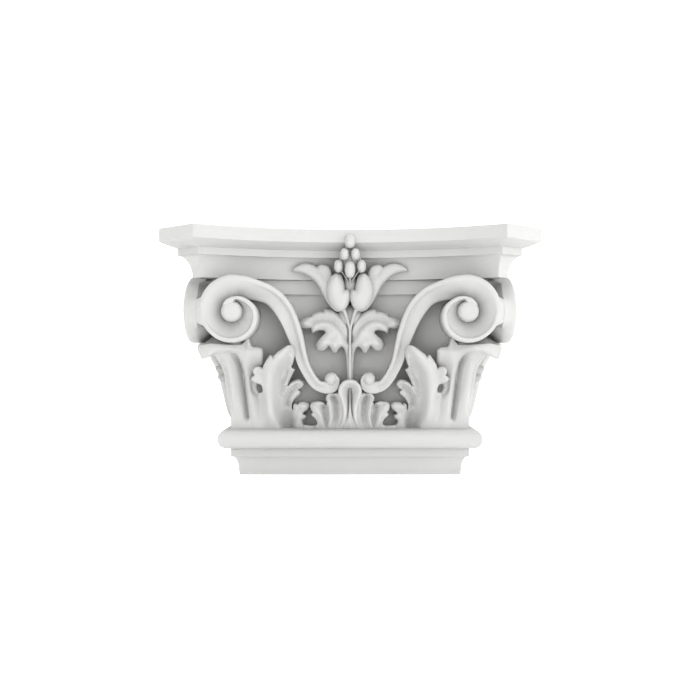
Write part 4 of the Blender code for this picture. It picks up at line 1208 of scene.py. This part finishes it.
class CAPITAL_OT_stage(bpy.types.Operator):
    """Lay the floor, hang the lights and set up the camera"""
    bl_idname = "capital.stage"
    bl_label = "Stage"

    def execute(self, context):
        stage = context.scene.capital_stage
        clear_selection()
        bpy.ops.mesh.primitive_plane_add(size=stage.floor_size, location=(0.0, 0.0, 0.0))
        floor = context.object
        floor.name = "floor"
        bake_place(floor)
        floor.data.materials.append(floor_material(stage.floor_colour, stage.floor_glow))
        world = bpy.data.worlds.new("soft_sky")
        world.use_nodes = True
        nodes, links = world.node_tree.nodes, world.node_tree.links
        sky = nodes["Background"]
        sky.inputs["Color"].default_value = (1.0, 1.0, 1.0, 1.0)
        place, toward, shade = (nodes.new("ShaderNode" + kind)
                                for kind in ("TexCoord", "VectorMath", "Math"))
        toward.operation = "DOT_PRODUCT"
        toward.inputs[1].default_value = SKY_TOWARD
        shade.operation = "MULTIPLY_ADD"
        shade.inputs[1].default_value = SKY_SLOPE * stage.sky_strength
        shade.inputs[2].default_value = stage.sky_strength
        links.new(place.outputs["Generated"], toward.inputs[0])
        links.new(toward.outputs["Value"], shade.inputs[0])
        links.new(shade.outputs["Value"], sky.inputs["Strength"])
        context.scene.world = world
        front = FRAME_BOX[0][1]
        middle = Vector((0.0, front, HEIGHT / 2 * MM))
        key_place = Vector((0.0, front, 0.0)) + Vector(KEY_PLACE)
        bpy.ops.object.light_add(type="AREA", location=key_place)
        key = context.object
        key.name = "key"
        key.data.shape = "RECTANGLE"
        key.data.size, key.data.size_y = KEY_SIZE
        key.data.energy = stage.key_power
        key.rotation_euler = (middle - key_place).to_track_quat("-Z", "Y").to_euler()
        bpy.ops.object.camera_add(location=(0.0, front - stage.camera_distance,
                                            stage.camera_height),
                                  rotation=(radians(90), 0.0, 0.0))
        camera = context.object
        camera.data.lens = stage.lens
        camera.data.sensor_width = 36.0
        camera.data.clip_end = 100.0
        context.scene.camera = camera
        context.scene.view_settings.view_transform = "Standard"
        context.scene.view_settings.gamma = stage.contrast
        return {"FINISHED"}


class CAPITAL_PT_panel(bpy.types.Panel):
    """Steps that make the capital, in order"""
    bl_label = "Capital"
    bl_space_type = "VIEW_3D"
    bl_region_type = "UI"
    bl_category = "Capital"

    def draw(self, context):
        for operator in OPERATORS:
            self.layout.operator(operator.bl_idname)
        for group in (context.scene.capital_finish, context.scene.capital_stage):
            for name in group.bl_rna.properties.keys():
                if name not in ("rna_type", "name"):
                    self.layout.prop(group, name)


OPERATORS = (CAPITAL_OT_mouldings, CAPITAL_OT_volutes, CAPITAL_OT_leaves, CAPITAL_OT_spray,
             CAPITAL_OT_cast, CAPITAL_OT_stage)
CLASSES = (CapitalFinish, CapitalStage) + OPERATORS + (CAPITAL_PT_panel,)


def register():
    for item in CLASSES:
        bpy.utils.register_class(item)
    bpy.types.Scene.capital_finish = bpy.props.PointerProperty(type=CapitalFinish)
    bpy.types.Scene.capital_stage = bpy.props.PointerProperty(type=CapitalStage)


def unregister():
    del bpy.types.Scene.capital_stage
    del bpy.types.Scene.capital_finish
    for item in reversed(CLASSES):
        bpy.utils.unregister_class(item)


def main():
    register()
    bpy.ops.capital.mouldings()
    bpy.ops.capital.volutes()
    bpy.ops.capital.leaves()
    bpy.ops.capital.spray()
    bpy.ops.capital.cast()
    bpy.ops.capital.stage()


if __name__ == "__main__":
    main()
